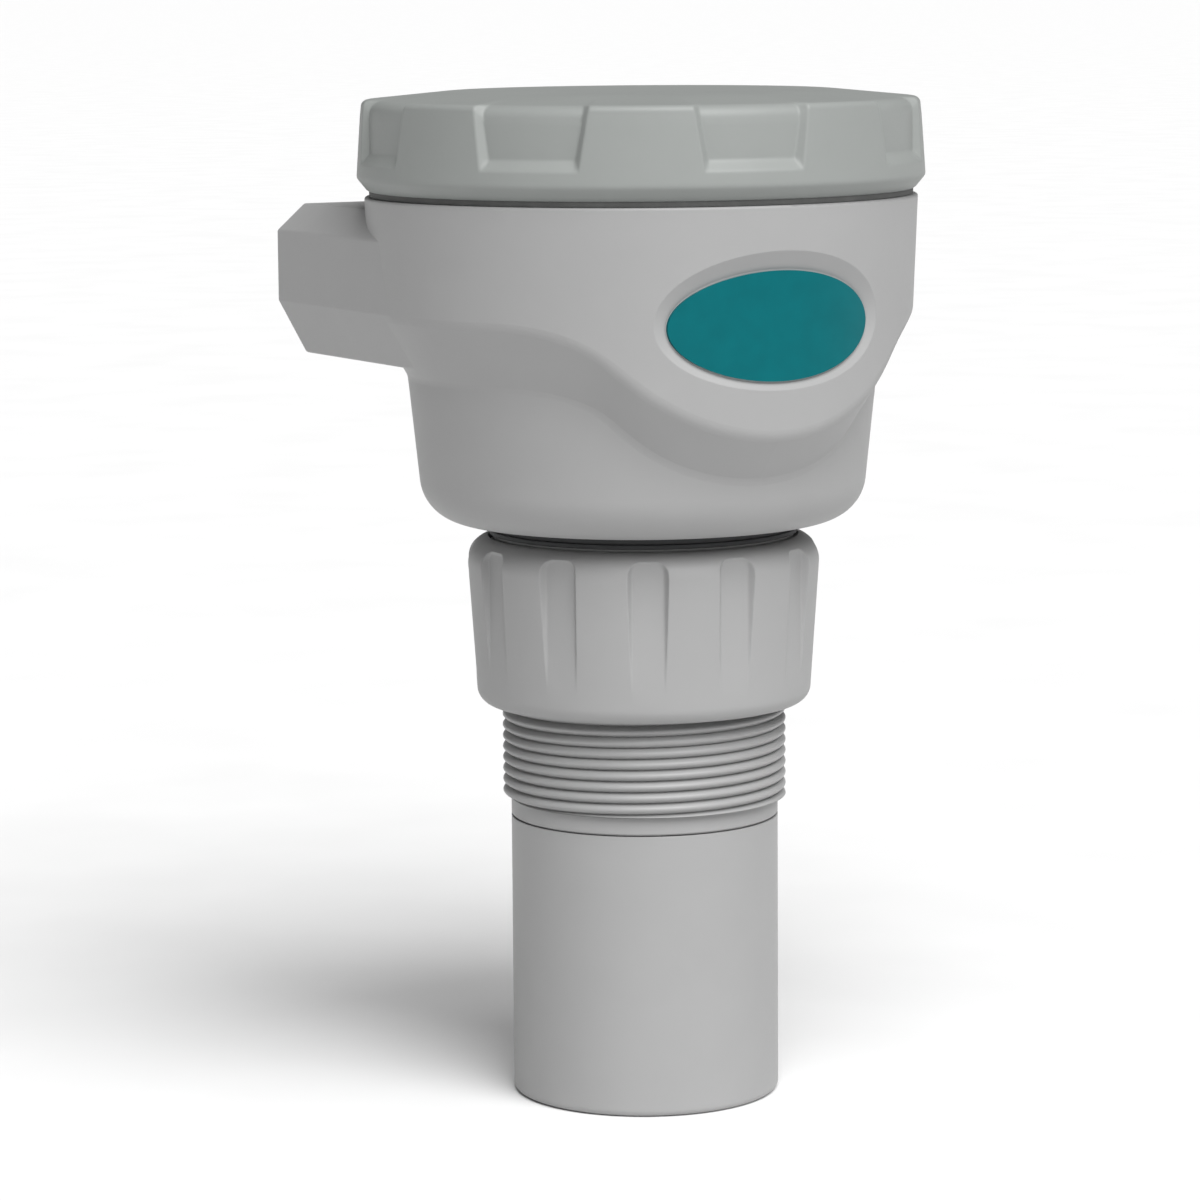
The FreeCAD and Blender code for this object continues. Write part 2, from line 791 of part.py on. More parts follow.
def label_stamp(label, grow):
    """Upright elliptical bar through the front wall, grown all round from the label's outline."""
    rim = new("Part::Ellipse", label + "_rim")
    bind(rim, "MajorRadius", "label_half_width + %s" % grow)
    bind(rim, "MinorRadius", "label_half_height + %s" % grow)
    rim.Placement = FreeCAD.Placement(V(0, 0, 0), FreeCAD.Rotation(V(1, 0, 0), 90))
    bind(rim, ".Placement.Base.z", "label_level")
    bar = new("Part::Extrusion", label)
    bar.Base = rim
    bar.DirMode = "Custom"
    bar.Dir = V(0, -1, 0)
    bar.Solid = True
    bind(bar, "LengthFwd", "lip_radius + overrun")
    return bar


def bezel_curve(label, radius):
    """Ellipse round the label, wrapped on a cylinder and wider the further out it lies."""
    grow = size("label_gap") + (radius - size("recess_floor")) * size("bezel_slope")
    wide = (size("label_half_width") + grow) / size("recess_floor")
    tall = size("label_half_height") + grow

    def spot(turn):
        angle = wide * math.cos(turn)
        level = size("label_level") + tall * math.sin(turn)
        return V(radius * math.sin(angle), -radius * math.cos(angle), level)
    return closed_curve(label, spot, BEZEL_POINTS)


def sink_label(bowl):
    """Recess for the label: a floor on a cylinder about the axis and a sloping bezel round it."""
    inner = bezel_curve("bezel_inner", size("recess_floor") - size("overrun"))
    outer = bezel_curve("bezel_outer", size("lip_radius") + size("overrun"))
    bezel = swept_surface("bezel", inner, outer, V(0, -1, 0), "bezel_sweep")
    core = cylinder("recess_core", "recess_floor", "lip_top", ("0", "0", "0"))
    space = fused("recess_space", [label_stamp("recess_bar", "label_gap"), bezel])
    return cut("bowl_sunk", bowl, cut("recess", space, core))


def make_housing():
    head = fused("bowl_and_cup", [sink_label(make_bowl()), make_cup()])
    doc.recompute()
    valley = wavy_edges(head.Shape, size("cup_foot_radius") + VALLEY_OUT, VALLEY_SLACK)
    head = rounded("head_rounded", head, valley, size("valley_round"))
    neck = part_turned("neck", [
        (None, "neck_root"), ("neck_radius", "neck_root"), ("neck_radius", "neck_mouth_foot"),
        ("neck_mouth_radius", "neck_top"), (None, "neck_top")])
    stub = part_turned("stub", [
        (None, "gasket_top"), ("stub_mouth_radius", "gasket_top"),
        ("stub_radius", "stub_mouth_top"), ("stub_radius", "stub_root"), (None, "stub_root")])
    solid = fused("head_solid", [head, neck, stub, make_boss(-1), make_boss(1)])
    cavity = part_turned("cavity", [
        (None, "gasket_top"), ("stub_bore", "gasket_top"), ("stub_bore", "cavity_floor"),
        ("ledge_radius", "cavity_floor"), ("ledge_radius", "ledge_top"),
        ("cup_cavity_radius", "ledge_top"), ("cup_cavity_radius", "deck_level"),
        ("cavity_radius", "deck_level"), ("cavity_radius", "neck_top"), (None, "neck_top")])
    holes = deck_rods("screw_hole", "screw_radius", "screw_length + 2 * overrun",
                      "deck_top - screw_length - 2 * overrun")
    tools = [cavity] + entry_tools(-1) + entry_tools(1) + holes
    return cut("housing", solid, fused("housing_tools", tools))


def make_dust_seal():
    return turned_body("dust_seal", [
        ("stub_radius", "seal_bottom"), ("seal_radius", "seal_bottom"),
        ("seal_radius", "cup_bottom"), ("stub_radius", "cup_bottom")])


def make_label_plate():
    """Thin elliptical plate, curved to the recess floor."""
    outer = cylinder("plate_outside", "recess_floor + label_thickness", "lip_top", ("0", "0", "0"))
    inner = cylinder("plate_inside", "recess_floor", "lip_top", ("0", "0", "0"))
    plate = new("Part::Common", "label_plate")
    plate.Base = cut("plate_shell", outer, inner)
    plate.Tool = label_stamp("plate_bar", "0")
    return plate


# Electronics and terminals inside the head.

def make_contact_socket():
    return turned_body("contact_socket", [
        ("socket_bore", "socket_tube_bottom"), ("socket_tube_radius", "socket_tube_bottom"),
        ("socket_tube_radius", "socket_bottom"), ("socket_radius", "socket_bottom"),
        ("socket_radius", "socket_top"), ("socket_tube_radius", "socket_top"),
        ("socket_tube_radius", "socket_tube_top"), ("socket_bore", "socket_tube_top")])


def make_main_board():
    return turned_body("main_board", [
        (None, "ledge_top"), ("main_board_radius", "ledge_top"),
        ("main_board_radius", "main_board_top"), (None, "main_board_top")])


SPACER_TURNS = (60, 180, 300)


def make_board_spacers():
    """Three pillars that carry the power board over the main board."""
    pillars = []
    for turn in SPACER_TURNS:
        across, along = math.cos(math.radians(turn)), math.sin(math.radians(turn))
        pillars.append(cylinder("spacer_%d" % turn, "spacer_radius", "board_gap", (
            "spacer_circle * %.6f" % across, "spacer_circle * %.6f" % along, "main_board_top")))
    return group("board_spacers", pillars)


def make_power_board():
    return turned_body("power_board", [
        (None, "power_board_bottom"), ("power_board_radius", "power_board_bottom"),
        ("power_board_radius", "power_board_top"), (None, "power_board_top")])


DECK_SCREW_TURNS = (0, 180, 270)


def deck_rods(word, radius, height, foot):
    """One upright cylinder on the deck's screw circle for each deck screw."""
    rods = []
    for turn in DECK_SCREW_TURNS:
        across, along = math.cos(math.radians(turn)), math.sin(math.radians(turn))
        rods.append(cylinder("%s_%d" % (word, turn), radius, height, (
            "screw_circle * %.6f" % across, "screw_circle * %.6f" % along, foot)))
    return rods


def make_electronics_deck():
    plate = cylinder("deck_plate", "deck_radius", "deck_thickness", ("0", "0", "deck_level"))
    holes = deck_rods("deck_hole", "screw_radius + seat_gap", "deck_thickness + 2 * overrun",
                      "deck_level - overrun")
    return cut("electronics_deck", plate, fused("deck_holes", holes))


def make_deck_screws():
    heads = deck_rods("screw_head", "screw_head_radius", "screw_head_height", "deck_top")
    shanks = deck_rods("screw_shank", "screw_radius", "screw_length", "deck_top - screw_length")
    screws = []
    for index, (head, shank) in enumerate(zip(heads, shanks)):
        screws.append(fused("deck_screw_%d" % index, [head, shank]))
    return group("deck_screws", screws)


# Places of the four buttons, counted in button pitches from the middle of their row.
BUTTON_PLACES = (-1.5, -0.5, 0.5, 1.5)
# Places of the six terminal ways, counted in terminal pitches from the middle.
TERMINAL_PLACES = (-2.5, -1.5, -0.5, 0.5, 1.5, 2.5)


def make_display_module():
    """Plug-on operating module: a case with a sunk window and four button wells."""
    case = box("display_case", ("display_width", "display_depth", "display_height"),
               ("-display_width / 2", "display_front", "deck_top"))
    doc.recompute()
    upright = [number for number, edge in enumerate(case.Shape.Edges, 1)
               if abs(edge.tangentAt(edge.FirstParameter).z) > 0.9]
    case = rounded("display_case_rounded", case, upright, size("display_edge"))
    window = box("window_seat", ("window_width", "window_depth", "window_thickness + overrun"),
                 ("-window_width / 2", "display_front + window_margin",
                  "display_top - window_thickness"))
    wells = []
    for index, place in enumerate(BUTTON_PLACES, 1):
        wells.append(cylinder("button_well_%d" % index, "button_well", "button_height + overrun", (
            "%.1f * button_pitch" % place, "button_row",
            "display_top - button_height + button_proud - button_travel - seat_gap")))
    return cut("display_module", case, fused("display_seats", [window] + wells))


def make_display_window():
    return box("display_window", (
        "window_width - 2 * seat_gap", "window_depth - 2 * seat_gap", "window_thickness"), (
        "-window_width / 2 + seat_gap", "display_front + window_margin + seat_gap",
        "display_top - window_thickness"))


def make_buttons():
    buttons = []
    for index, place in enumerate(BUTTON_PLACES, 1):
        buttons.append(cylinder("button_%d" % index, "button_radius", "button_height", (
            "%.1f * button_pitch" % place, "button_row",
            "display_top - button_height + button_proud")))
    return buttons


def terminal_rods(word, radius, height, along, foot, tilt):
    """One cylinder for each of the six terminal ways."""
    rods = []
    for index, place in enumerate(TERMINAL_PLACES, 1):
        rod = cylinder("%s_%d" % (word, index), radius, height, (
            "%.1f * terminal_pitch" % place, along, foot))
        if tilt:
            rod.Placement.Rotation = FreeCAD.Rotation(V(1, 0, 0), -90)
        rods.append(rod)
    return rods


def make_terminal_block():
    block = box("terminal_case", ("terminal_width", "terminal_depth", "terminal_height"),
                ("-terminal_width / 2", "terminal_front", "deck_top"))
    wells = terminal_rods("terminal_well", "terminal_screw_radius + seat_gap",
                          "terminal_screw_depth + overrun", "terminal_front + terminal_screw_line",
                          "terminal_top - terminal_screw_depth", False)
    ways = terminal_rods("wire_way", "terminal_wire_radius", "terminal_wire_depth + overrun",
                         "terminal_front + terminal_depth - terminal_wire_depth",
                         "deck_top + terminal_wire_rise", True)
    return cut("terminal_block", block, fused("terminal_holes", wells + ways))


def make_terminal_screws():
    return group("terminal_screws", terminal_rods(
        "terminal_screw", "terminal_screw_radius", "terminal_screw_depth - terminal_screw_sink",
        "terminal_front + terminal_screw_line", "terminal_top - terminal_screw_depth", False))


# Screw lid and its seal.

def make_lid_gasket():
    return turned_body("lid_gasket", [
        ("lid_bore", "seal_ring_bottom"), ("seal_ring_radius", "seal_ring_bottom"),
        ("seal_ring_radius", "lid_foot"), ("lid_bore", "lid_foot")])


def plane_face(label, corners, rotation, base):
    """Free sketch with a straight closed outline, turned and set where it is needed."""
    sketch = new("Sketcher::SketchObject", label)
    sketch.Placement = FreeCAD.Placement(base, rotation)
    points = [V(across, up, 0) for across, up in corners]
    for index, point in enumerate(points):
        sketch.addGeometry(Part.LineSegment(point, points[(index + 1) % len(points)]), False)
    return sketch


def notch_sketch(label, proud):
    """Notch outline on a plane that stands proud of the rim: wider at its open top."""
    half = size("notch_half_width") + size("notch_side_bevel") * proud
    sill = size("notch_sill") - size("notch_sill_bevel") * proud
    top = size("lid_disc_level") + size("notch_headroom")
    spread = half + (top - sill) * size("notch_flare")
    corners = [(-half, sill), (half, sill), (spread, top), (-spread, top)]
    return plane_face(label, corners, FreeCAD.Rotation(V(1, 0, 0), 90),
                      V(0, -size("lid_rim_radius") - proud, 0))


def notch_wedge():
    """Space of one notch: it narrows inwards to a sloping sill and sloping sides."""
    wedge = new("Part::Loft", "notch_wedge")
    wedge.Sections = [notch_sketch("notch_outer", size("notch_reach")),
                      notch_sketch("notch_inner", -size("notch_depth"))]
    wedge.Solid = True
    wedge.Ruled = True
    return wedge


def notch_shoulder():
    """Space where the notch runs over the lid's shoulder and fades out on its slope."""
    near, far = size("notch_end_radius"), size("lid_rim_radius") + size("notch_reach")
    narrow = size("notch_shoulder_half")
    wide = narrow + (far - near) * size("notch_flare")
    shoulder = new("Part::Extrusion", "notch_shoulder")
    shoulder.Base = plane_face("shoulder_plan", [
        (-narrow, -near), (-wide, -far), (wide, -far), (narrow, -near)],
        FreeCAD.Rotation(), V(0, 0, size("floor_root")))
    shoulder.DirMode = "Custom"
    shoulder.Dir = V(0, 0, 1)
    shoulder.Solid = True
    bind(shoulder, "LengthFwd", "lid_disc_level + notch_headroom - floor_root")
    return shoulder


def notch_tools():
    """All the notches round the lid, each with a floor that is part of one turned form."""
    floor = part_turned("notch_floor", [
        (None, "floor_bottom"), ("floor_outer_radius", "floor_bottom"),
        ("notch_floor_radius", "floor_edge"), ("shoulder_inner_radius", "floor_level"),
        (None, "floor_level")])
    one = cut("notch", fused("notch_space", [notch_wedge(), notch_shoulder()]), floor)
    doc.recompute()
    return ring_of_tools("notches", one, int(size("notch_count")), size("notch_turn"))


def make_lid():
    """Moulded lid: bevelled grip notches run over its shoulder, and it is hollow below."""
    blank = part_turned("lid_blank", [
        (None, "lid_foot"), ("lid_foot_radius", "lid_foot"), ("lid_rim_radius", "lid_rim"),
        ("lid_wall_radius", "lid_wall_top"), ("lid_disc_radius", "lid_disc_level"),
        (None, "lid_disc_level")])
    doc.recompute()
    edge = rim_edges(blank.Shape, size("lid_wall_radius"), size("lid_wall_top"))
    blank = rounded("lid_rounded", blank, edge, size("lid_edge"))
    hollow = cylinder("lid_hollow", "lid_bore", "lid_ceiling - lid_foot + overrun",
                      ("0", "0", "lid_foot - overrun"))
    return cut("lid", cut("lid_notched", blank, notch_tools()), hollow)


def make_all():
    parts = [
        make_transducer_cup(), make_matching_layer(), make_piezo_disc(), make_damping_ring(),
        make_backing_foam(), make_sensor_lead(), make_temperature_sensor(), make_potting(),
        make_sensor_plug(), make_process_connection(), make_union_gasket(), make_union_nut(),
        make_housing(), make_dust_seal(), make_label_plate(), make_contact_socket(),
        make_main_board(), make_board_spacers(), make_power_board(), make_electronics_deck(),
        make_deck_screws(), make_display_module(), make_display_window(), make_terminal_block(),
        make_terminal_screws(), make_lid_gasket(), make_lid()]
    return parts + make_buttons()


def export_all(parts):
    """Check every object and sub-part, then write one STEP file for each."""
    doc.recompute()
    for thing in doc.Objects:
        if "Invalid" in thing.State or "Error" in thing.State:
            raise RuntimeError("failed object " + thing.Label)
    for part in parts:
        if part.Shape.isNull() or not part.Shape.isValid():
            raise RuntimeError("bad shape " + part.Label)
    os.makedirs("parts", exist_ok=True)
    for part in parts:
        part.Shape.exportStep(os.path.join("parts", part.Label + ".step"))
        print("%-20s solids %d volume %.1f" % (part.Label, len(part.Shape.Solids), part.Shape.Volume))


export_all(make_all())
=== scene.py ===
import math
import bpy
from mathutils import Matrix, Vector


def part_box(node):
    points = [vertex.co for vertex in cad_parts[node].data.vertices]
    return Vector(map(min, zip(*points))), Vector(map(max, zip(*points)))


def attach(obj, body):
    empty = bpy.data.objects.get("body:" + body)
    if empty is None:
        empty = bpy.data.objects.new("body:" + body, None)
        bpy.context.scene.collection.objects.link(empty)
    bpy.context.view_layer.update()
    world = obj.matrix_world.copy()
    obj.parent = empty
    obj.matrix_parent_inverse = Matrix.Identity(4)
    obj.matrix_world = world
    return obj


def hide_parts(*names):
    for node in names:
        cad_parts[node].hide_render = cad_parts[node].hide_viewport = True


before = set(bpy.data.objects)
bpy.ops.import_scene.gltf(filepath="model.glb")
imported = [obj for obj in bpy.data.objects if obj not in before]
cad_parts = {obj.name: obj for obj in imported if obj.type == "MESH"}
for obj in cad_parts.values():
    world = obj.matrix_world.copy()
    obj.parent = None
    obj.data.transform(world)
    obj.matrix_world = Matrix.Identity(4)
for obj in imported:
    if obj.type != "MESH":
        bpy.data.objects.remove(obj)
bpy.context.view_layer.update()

from types import SimpleNamespace

import bmesh
import bpy
import numpy as np
from bpy.props import FloatProperty, FloatVectorProperty, IntProperty, PointerProperty
from bpy.types import Operator, Panel, PropertyGroup
from mathutils import Matrix, Vector

bl_info = {
    "name": "Ultrasonic level transmitter",
    "version": (1, 0, 0),
    "blender": (4, 5, 0),
    "location": "View3D > Sidebar > Transmitter",
    "description": "Finishes the packed parts of a level transmitter and sets its studio",
    "category": "Object",
}

MM = 0.001

# Threads of the moulded parts, in millimetres: widths of the ridge at its root and at its crest,
# its height over the wall that carries it, and how far its root reaches into that wall.
UNION_THREAD = SimpleNamespace(root=1.9, crest=0.7, height=0.6, sunk=0.05)
LID_THREAD = SimpleNamespace(root=2.4, crest=1.0, height=1.0, sunk=0.05)
ENTRY_THREAD = SimpleNamespace(root=1.24, crest=0.24, height=0.7, sunk=0.15)


def linear(code):
    """Linear colour of an sRGB hex value."""
    channels = [int(code[start:start + 2], 16) / 255 for start in (0, 2, 4)]
    return tuple(c / 12.92 if c <= 0.04045 else ((c + 0.055) / 1.055) ** 2.4 for c in channels)


def box_mm(node):
    """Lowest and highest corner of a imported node, in millimetres."""
    low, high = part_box(node)
    return low / MM, high / MM


def length(name, about, millimetres):
    """Property that holds one length in metres."""
    return FloatProperty(name=name, description=about, default=millimetres * MM, unit="LENGTH",
                         precision=5)


def turn(name, about, degrees):
    """Property that holds one angle."""
    return FloatProperty(name=name, description=about, default=math.radians(degrees),
                         unit="ROTATION")


def colour(name, about, code):
    """Property that holds one colour."""
    return FloatVectorProperty(name=name, description=about, default=linear(code),
                               subtype="COLOR", size=3, min=0, max=1)


def number(name, about, amount):
    """Property that holds a plain number."""
    return FloatProperty(name=name, description=about, default=amount)


class TransmitterConnection(PropertyGroup):
    """Process connection: ring, thread, relief and flange."""
    bore: length("Bore", "Radius of the hole through the connection", 25.4)
    ring: length("Ring height", "Height of the plain ring under the thread", 4.0)
    pin: length("Thread length", "Height of the threaded part", 19.6)
    crest: length("Crest radius", "Radius over the thread crests", 29.8)
    pitch: length("Pitch", "Rise of the thread in one turn", 2.309)
    depth: length("Depth", "From a crest to the bottom of the groove", 1.42)
    crest_level: length("Crest level", "Height of a crest on the label side", 65.10)
    relief: length("Relief radius", "Radius between thread and flange", 28.4)
    flange: length("Flange height", "Thickness of the flange in the nut", 6.0)
    edge: length("Edge", "Chamfer of ring and flange", 0.35)


class TransmitterNut(PropertyGroup):
    """Union nut with its grip flutes."""
    foot_radius: length("Foot radius", "Outer radius at the foot, without its rounding", 34.85)
    top_radius: length("Top radius", "Outer radius at the top, without its rounding", 36.95)
    corner: length("Corner", "Rounding of the foot", 3.4)
    shoulder: length("Shoulder", "Rounding of the top", 5.4)
    shoulder_radius: length("Shoulder centre", "Radius of the middle of that rounding", 31.5)
    bore: length("Bore", "Radius of the hole in the lip", 30.1)
    lip: length("Lip height", "Height of the lip over the foot", 16.6)
    chamber: length("Chamber", "Radius of the threaded space", 32.4)
    mouth: length("Mouth", "Width of the flat rim round that space", 0.1)
    count: IntProperty(name="Flutes", description="Number of grip flutes", default=12)
    flute_width: length("Flute width", "Width of the flat floor of one flute", 7.0)
    flute_floor: length("Flute floor", "Distance of the flute floors from the axis", 35.2)
    flute_drop: length("Flute drop", "From the top of the nut to the top of a flute", 1.9)
    flute_round: length("Flute rounding", "Corner radius of a flute", 2.2)
    flute_rise: number("Flank", "Rise of a flute's flank for each step sideways", 2.0)
    flute_turn: turn("Flute turn", "Angle of the first flute from the label side", -28.0)
    pitch: length("Pitch", "Rise of the thread between nut and head in one turn", 3.0)
    thread_start: length("Thread start", "Level at which that thread starts in the nut", 110.4)
    thread_end: length("Thread end", "Level at which it ends in the nut", 117.4)


class TransmitterLid(PropertyGroup):
    """Screw lid with its grip notches."""
    foot_radius: length("Foot radius", "Outer radius of the foot", 56.4)
    rim_radius: length("Rim radius", "Largest outer radius", 58.85)
    rim_rise: length("Rim rise", "Height of the bevel under the rim", 2.7)
    wall_radius: length("Wall radius", "Outer radius at the top of the wall", 57.75)
    crown: length("Crown", "Rise from the top of the wall to the disc", 1.7)
    edge: length("Edge", "Rounding between wall and shoulder", 1.4)
    disc: length("Disc", "Radius of the flat top", 40.0)
    roof: length("Roof", "Thickness of the top", 3.4)
    bore: length("Bore", "Radius of the space under the top", 54.3)
    count: IntProperty(name="Notches", description="Number of grip notches", default=8)
    notch_turn: turn("Notch turn", "Angle of the first notch from the label side", -6.9)
    sill: length("Sill", "Height at which a notch starts", 196.2)
    slope: length("Sill slope", "Height over which a notch reaches its full depth", 2.1)
    floor: length("Notch floor", "Distance of the notch floors from the axis", 56.55)
    floor_lean: number("Floor lean", "Slope of the notch floors", 0.03)
    floor_drop: length("Floor drop", "From the disc down to the top of a notch floor", 1.95)
    floor_round: length("Notch rounding", "Rounding from notch floor to shoulder", 2.8)
    notch_end: length("Notch end", "Radius at which a notch runs out on the shoulder", 46.2)
    half_sill: turn("Half angle, sill", "Half the angle of a notch at its sill", 10.35)
    half_top: turn("Half angle, top", "Half the angle of a notch at the top", 12.35)
    pitch: length("Pitch", "Rise of the thread between lid and neck in one turn", 4.0)
    thread_start: length("Thread start", "Level at which that thread starts in the lid", 192.0)
    thread_end: length("Thread end", "Level at which it ends in the lid", 203.5)


class TransmitterHead(PropertyGroup):
    """Threads and seal of the head."""
    stub: length("Stub", "Radius of the stub that the nut holds", 31.5)
    stub_start: length("Stub thread start", "Level at which the stub's thread starts", 108.9)
    stub_end: length("Stub thread end", "Level at which it ends", 117.4)
    neck: length("Neck", "Radius of the neck that the lid screws on", 53.0)
    neck_start: length("Neck thread start", "Level at which the neck's thread starts", 194.0)
    neck_end: length("Neck thread end", "Level at which it ends", 201.8)
    entry: length("Entry", "Radius of the conduit entries", 10.0)
    entry_pitch: length("Entry pitch", "Rise of the conduit thread in one turn", 1.5)
    entry_depth: length("Entry depth", "Length of the threaded part of an entry", 16.5)
    entry_aside: length("Entry offset", "Sideways distance of the entries from the axis", 41.0)
    entry_back: length("Entry bottom", "Distance of the bottom of the entries from the axis", 40.0)
    entry_level: length("Entry level", "Height of the conduit entries", 170.6)
    seal: length("Seal", "Outer radius of the seal over the nut", 32.3)
    seal_neck: length("Seal neck", "Radius of the seal's upper half", 31.65)


class TransmitterFinish(PropertyGroup):
    """Colours of the finishes that show from outside."""
    housing: colour("Housing", "Moulded head", "939393")
    lid: colour("Lid", "Moulded screw lid", "848785")
    nut: colour("Union nut", "Moulded union nut", "949494")
    tube: colour("Sensor tube", "Moulded sensor tube and its thread", "939393")
    label: colour("Label", "Printed film of the label", "005A60")
    rubber: colour("Rubber", "Seals inside and over the nut", "2E2F30")
    gasket: colour("Lid gasket", "Seal under the lid", "474847")


class TransmitterStudio(PropertyGroup):
    """Camera, lights and floor."""
    distance: length("Distance", "From the camera to its target", 929.0)
    azimuth: turn("Azimuth", "Turn of the camera from the label side", -29.0)
    pitch: turn("Pitch", "Camera angle above the horizon", 8.0)
    roll: turn("Roll", "Turn of the camera about its view", -0.42)
    target: length("Target height", "Height of the point that the camera looks at", 104.2)
    aside: length("Target offset", "Sideways distance of that point from the axis", -9.11)
    lens: number("Focal length", "Focal length in millimetres for a 36 mm sensor", 132.72)
    sky: number("Sky", "Strength of the even light from above", 0.22)
    key: number("Key light", "Strength of the broad light at the upper right", 4.6)
    key_turn: turn("Key turn", "Turn of that light from the label side", -5.0)
    key_height: turn("Key height", "Its angle above the horizon", 52.0)
    key_spread: turn("Key spread", "Its width as seen from the part", 50.0)


def in_mm(group):
    """Values of a property group by name, with its lengths in millimetres."""
    values = {}
    for name in group.__annotations__:
        value = getattr(group, name)
        values[name] = value / MM if group.bl_rna.properties[name].unit == "LENGTH" else value
    return SimpleNamespace(**values)


# Meshes

def mesh_object(name, points, faces):
    """Object whose mesh has these points, in millimetres, smooth apart from its real edges."""
    mesh = bpy.data.meshes.new(name)
    mesh.from_pydata((np.asarray(points) * MM).tolist(), [], faces)
    shape = bmesh.new()
    shape.from_mesh(mesh)
    bmesh.ops.remove_doubles(shape, verts=shape.verts, dist=0.002 * MM)
    bmesh.ops.dissolve_degenerate(shape, edges=shape.edges, dist=0.001 * MM)
    bmesh.ops.recalc_face_normals(shape, faces=shape.faces)
    shape.to_mesh(mesh)
    shape.free()
    soften(mesh)
    thing = bpy.data.objects.new(name, mesh)
    bpy.context.scene.collection.objects.link(thing)
    return thing


def soften(mesh, sharpest=32.0):
    """Shade a mesh smooth, except across edges sharper than an angle in degrees."""
    mesh.polygons.foreach_set("use_smooth", [True] * len(mesh.polygons))
    mesh.set_sharp_from_angle(angle=math.radians(sharpest))
    mesh.update()


def skin_faces(count, width, closed):
    """Faces between rings of so many points; the last ring joins the first one if closed."""
    faces = []
    for ring in range(count if closed else count - 1):
        here, there = ring * width, (ring + 1) % count * width
        for spot in range(width):
            beside = (spot + 1) % width
            faces.append((here + spot, here + beside, there + beside, there + spot))
    return faces


def grid_object(name, rings):
    """Object with a closed skin over rings of points."""
    return mesh_object(name, rings.reshape(-1, 3), skin_faces(*rings.shape[:2], closed=True))


def on_axis(angle, radius, level):
    """Points at angles counted from the label side, anticlockwise from above."""
    return np.stack(np.broadcast_arrays(radius * np.sin(angle), -radius * np.cos(angle), level),
                    axis=-1)


def arc(centre, radius, start, end, steps):
    """Points of a section's arc, from one angle to another in degrees."""
    turns = np.radians(np.linspace(start, end, steps))
    return [(centre[0] + radius * math.cos(a), centre[1] + radius * math.sin(a)) for a in turns]


def along(start, end, steps):
    """Evenly spaced points of a section, without the last one."""
    return [tuple(np.array(start) + (np.array(end) - np.array(start)) * i / steps)
            for i in range(steps)]


def bend(value, soft):
    """Zero below nought and the value above it, with a soft bend between."""
    middle = (value + soft) ** 2 / (4 * soft)
    return np.where(value <= -soft, 0, np.where(value >= soft, value, middle))


def lesser(first, second, soft):
    """Smaller of two values, with a soft change from one to the other."""
    return first - bend(first - second, soft)


def turned(name, section, columns=180):
    """Solid of revolution from a closed section of (radius, level) points."""
    angles = np.linspace(0, math.tau, columns, endpoint=False)
    return grid_object(name, turned_rings(angles, section))


def turned_rings(angles, section):
    """Rings of points, one for each (radius, level) point of a section."""
    return np.array([on_axis(angles, radius, level) for radius, level in section])


def thread_ridge(name, wall, form, side, pitch, first, last, fade=40.0, step=5.0):
    """Right-hand thread ridge between two levels on a wall of this radius.

    Side is 1 for a thread outside the wall and -1 for one inside it. The ridge grows and runs
    out over an angle in degrees, and starts on the label side."""
    root, crest = wall - side * form.sunk, wall + side * form.height
    thinnest = 0.02
    turns = np.arange(0, (last - first) / pitch * 360 + step, step)
    profile = np.array([-form.root, -form.crest, form.crest, form.root]) / 2
    rings = []
    for degrees in turns:
        grown = max(thinnest, min(1.0, degrees / fade, (turns[-1] - degrees) / fade))
        tip = root + (crest - root) * grown
        rings.append(on_axis(math.radians(degrees), np.array([root, tip, tip, root]),
                             first + pitch * degrees / 360 + profile))
    rings = np.array(rings)
    count, width = rings.shape[:2]
    faces = skin_faces(count, width, closed=False)
    faces.append(tuple(range(width)))
    faces.append(tuple((count - 1) * width + s for s in reversed(range(width))))
    return mesh_object(name, rings.reshape(-1, 3), faces)


# Materials

def add_node(tree, kind, sockets=None, stops=None, **settings):
    """Add a node with its settings; a socket takes a value or the output that feeds it."""
    node = tree.nodes.new(kind)
    for name, value in settings.items():
        setattr(node, name, value)
    for name, value in (sockets or {}).items():
        if isinstance(value, bpy.types.NodeSocket):
            tree.links.new(value, node.inputs[name])
        else:
            node.inputs[name].default_value = value
    if stops:
        marks = node.color_ramp.elements
        while len(marks) < len(stops):
            marks.new(0.5)
        for mark, (place, shade) in zip(marks, stops):
            mark.position, mark.color = place, (*shade, 1)
    return node


def new_material(name):
    """Empty node material with its tree, output and object coordinates in millimetres."""
    material = bpy.data.materials.new(name)
    material.use_nodes = True
    tree = material.node_tree
    tree.nodes.clear()
    place = add_node(tree, "ShaderNodeTexCoord").outputs["Object"]
    scaled = add_node(tree, "ShaderNodeVectorMath", {0: place, "Scale": 1 / MM},
                      operation="SCALE").outputs["Vector"]
    return material, tree, scaled


def finish_material(material, tree, sockets):
    """Principled surface of a material, from its sockets."""
    surface = add_node(tree, "ShaderNodeBsdfPrincipled", sockets)
    add_node(tree, "ShaderNodeOutputMaterial", {"Surface": surface.outputs["BSDF"]})
    return material


def shade(tone, amount):
    """Colour made lighter or darker by a share."""
    return tuple(min(1.0, channel * amount) for channel in tone)


def grey(amount):
    """Neutral linear colour of one brightness."""
    return (amount, amount, amount)


def mottle(tree, place, grain, detail=2.0, roughness=0.5):
    """Even cloudy pattern whose spots are about one grain wide, in millimetres."""
    return add_node(tree, "ShaderNodeTexNoise", {
        "Vector": place, "Scale": 1 / grain, "Detail": detail,
        "Roughness": roughness}).outputs["Fac"]


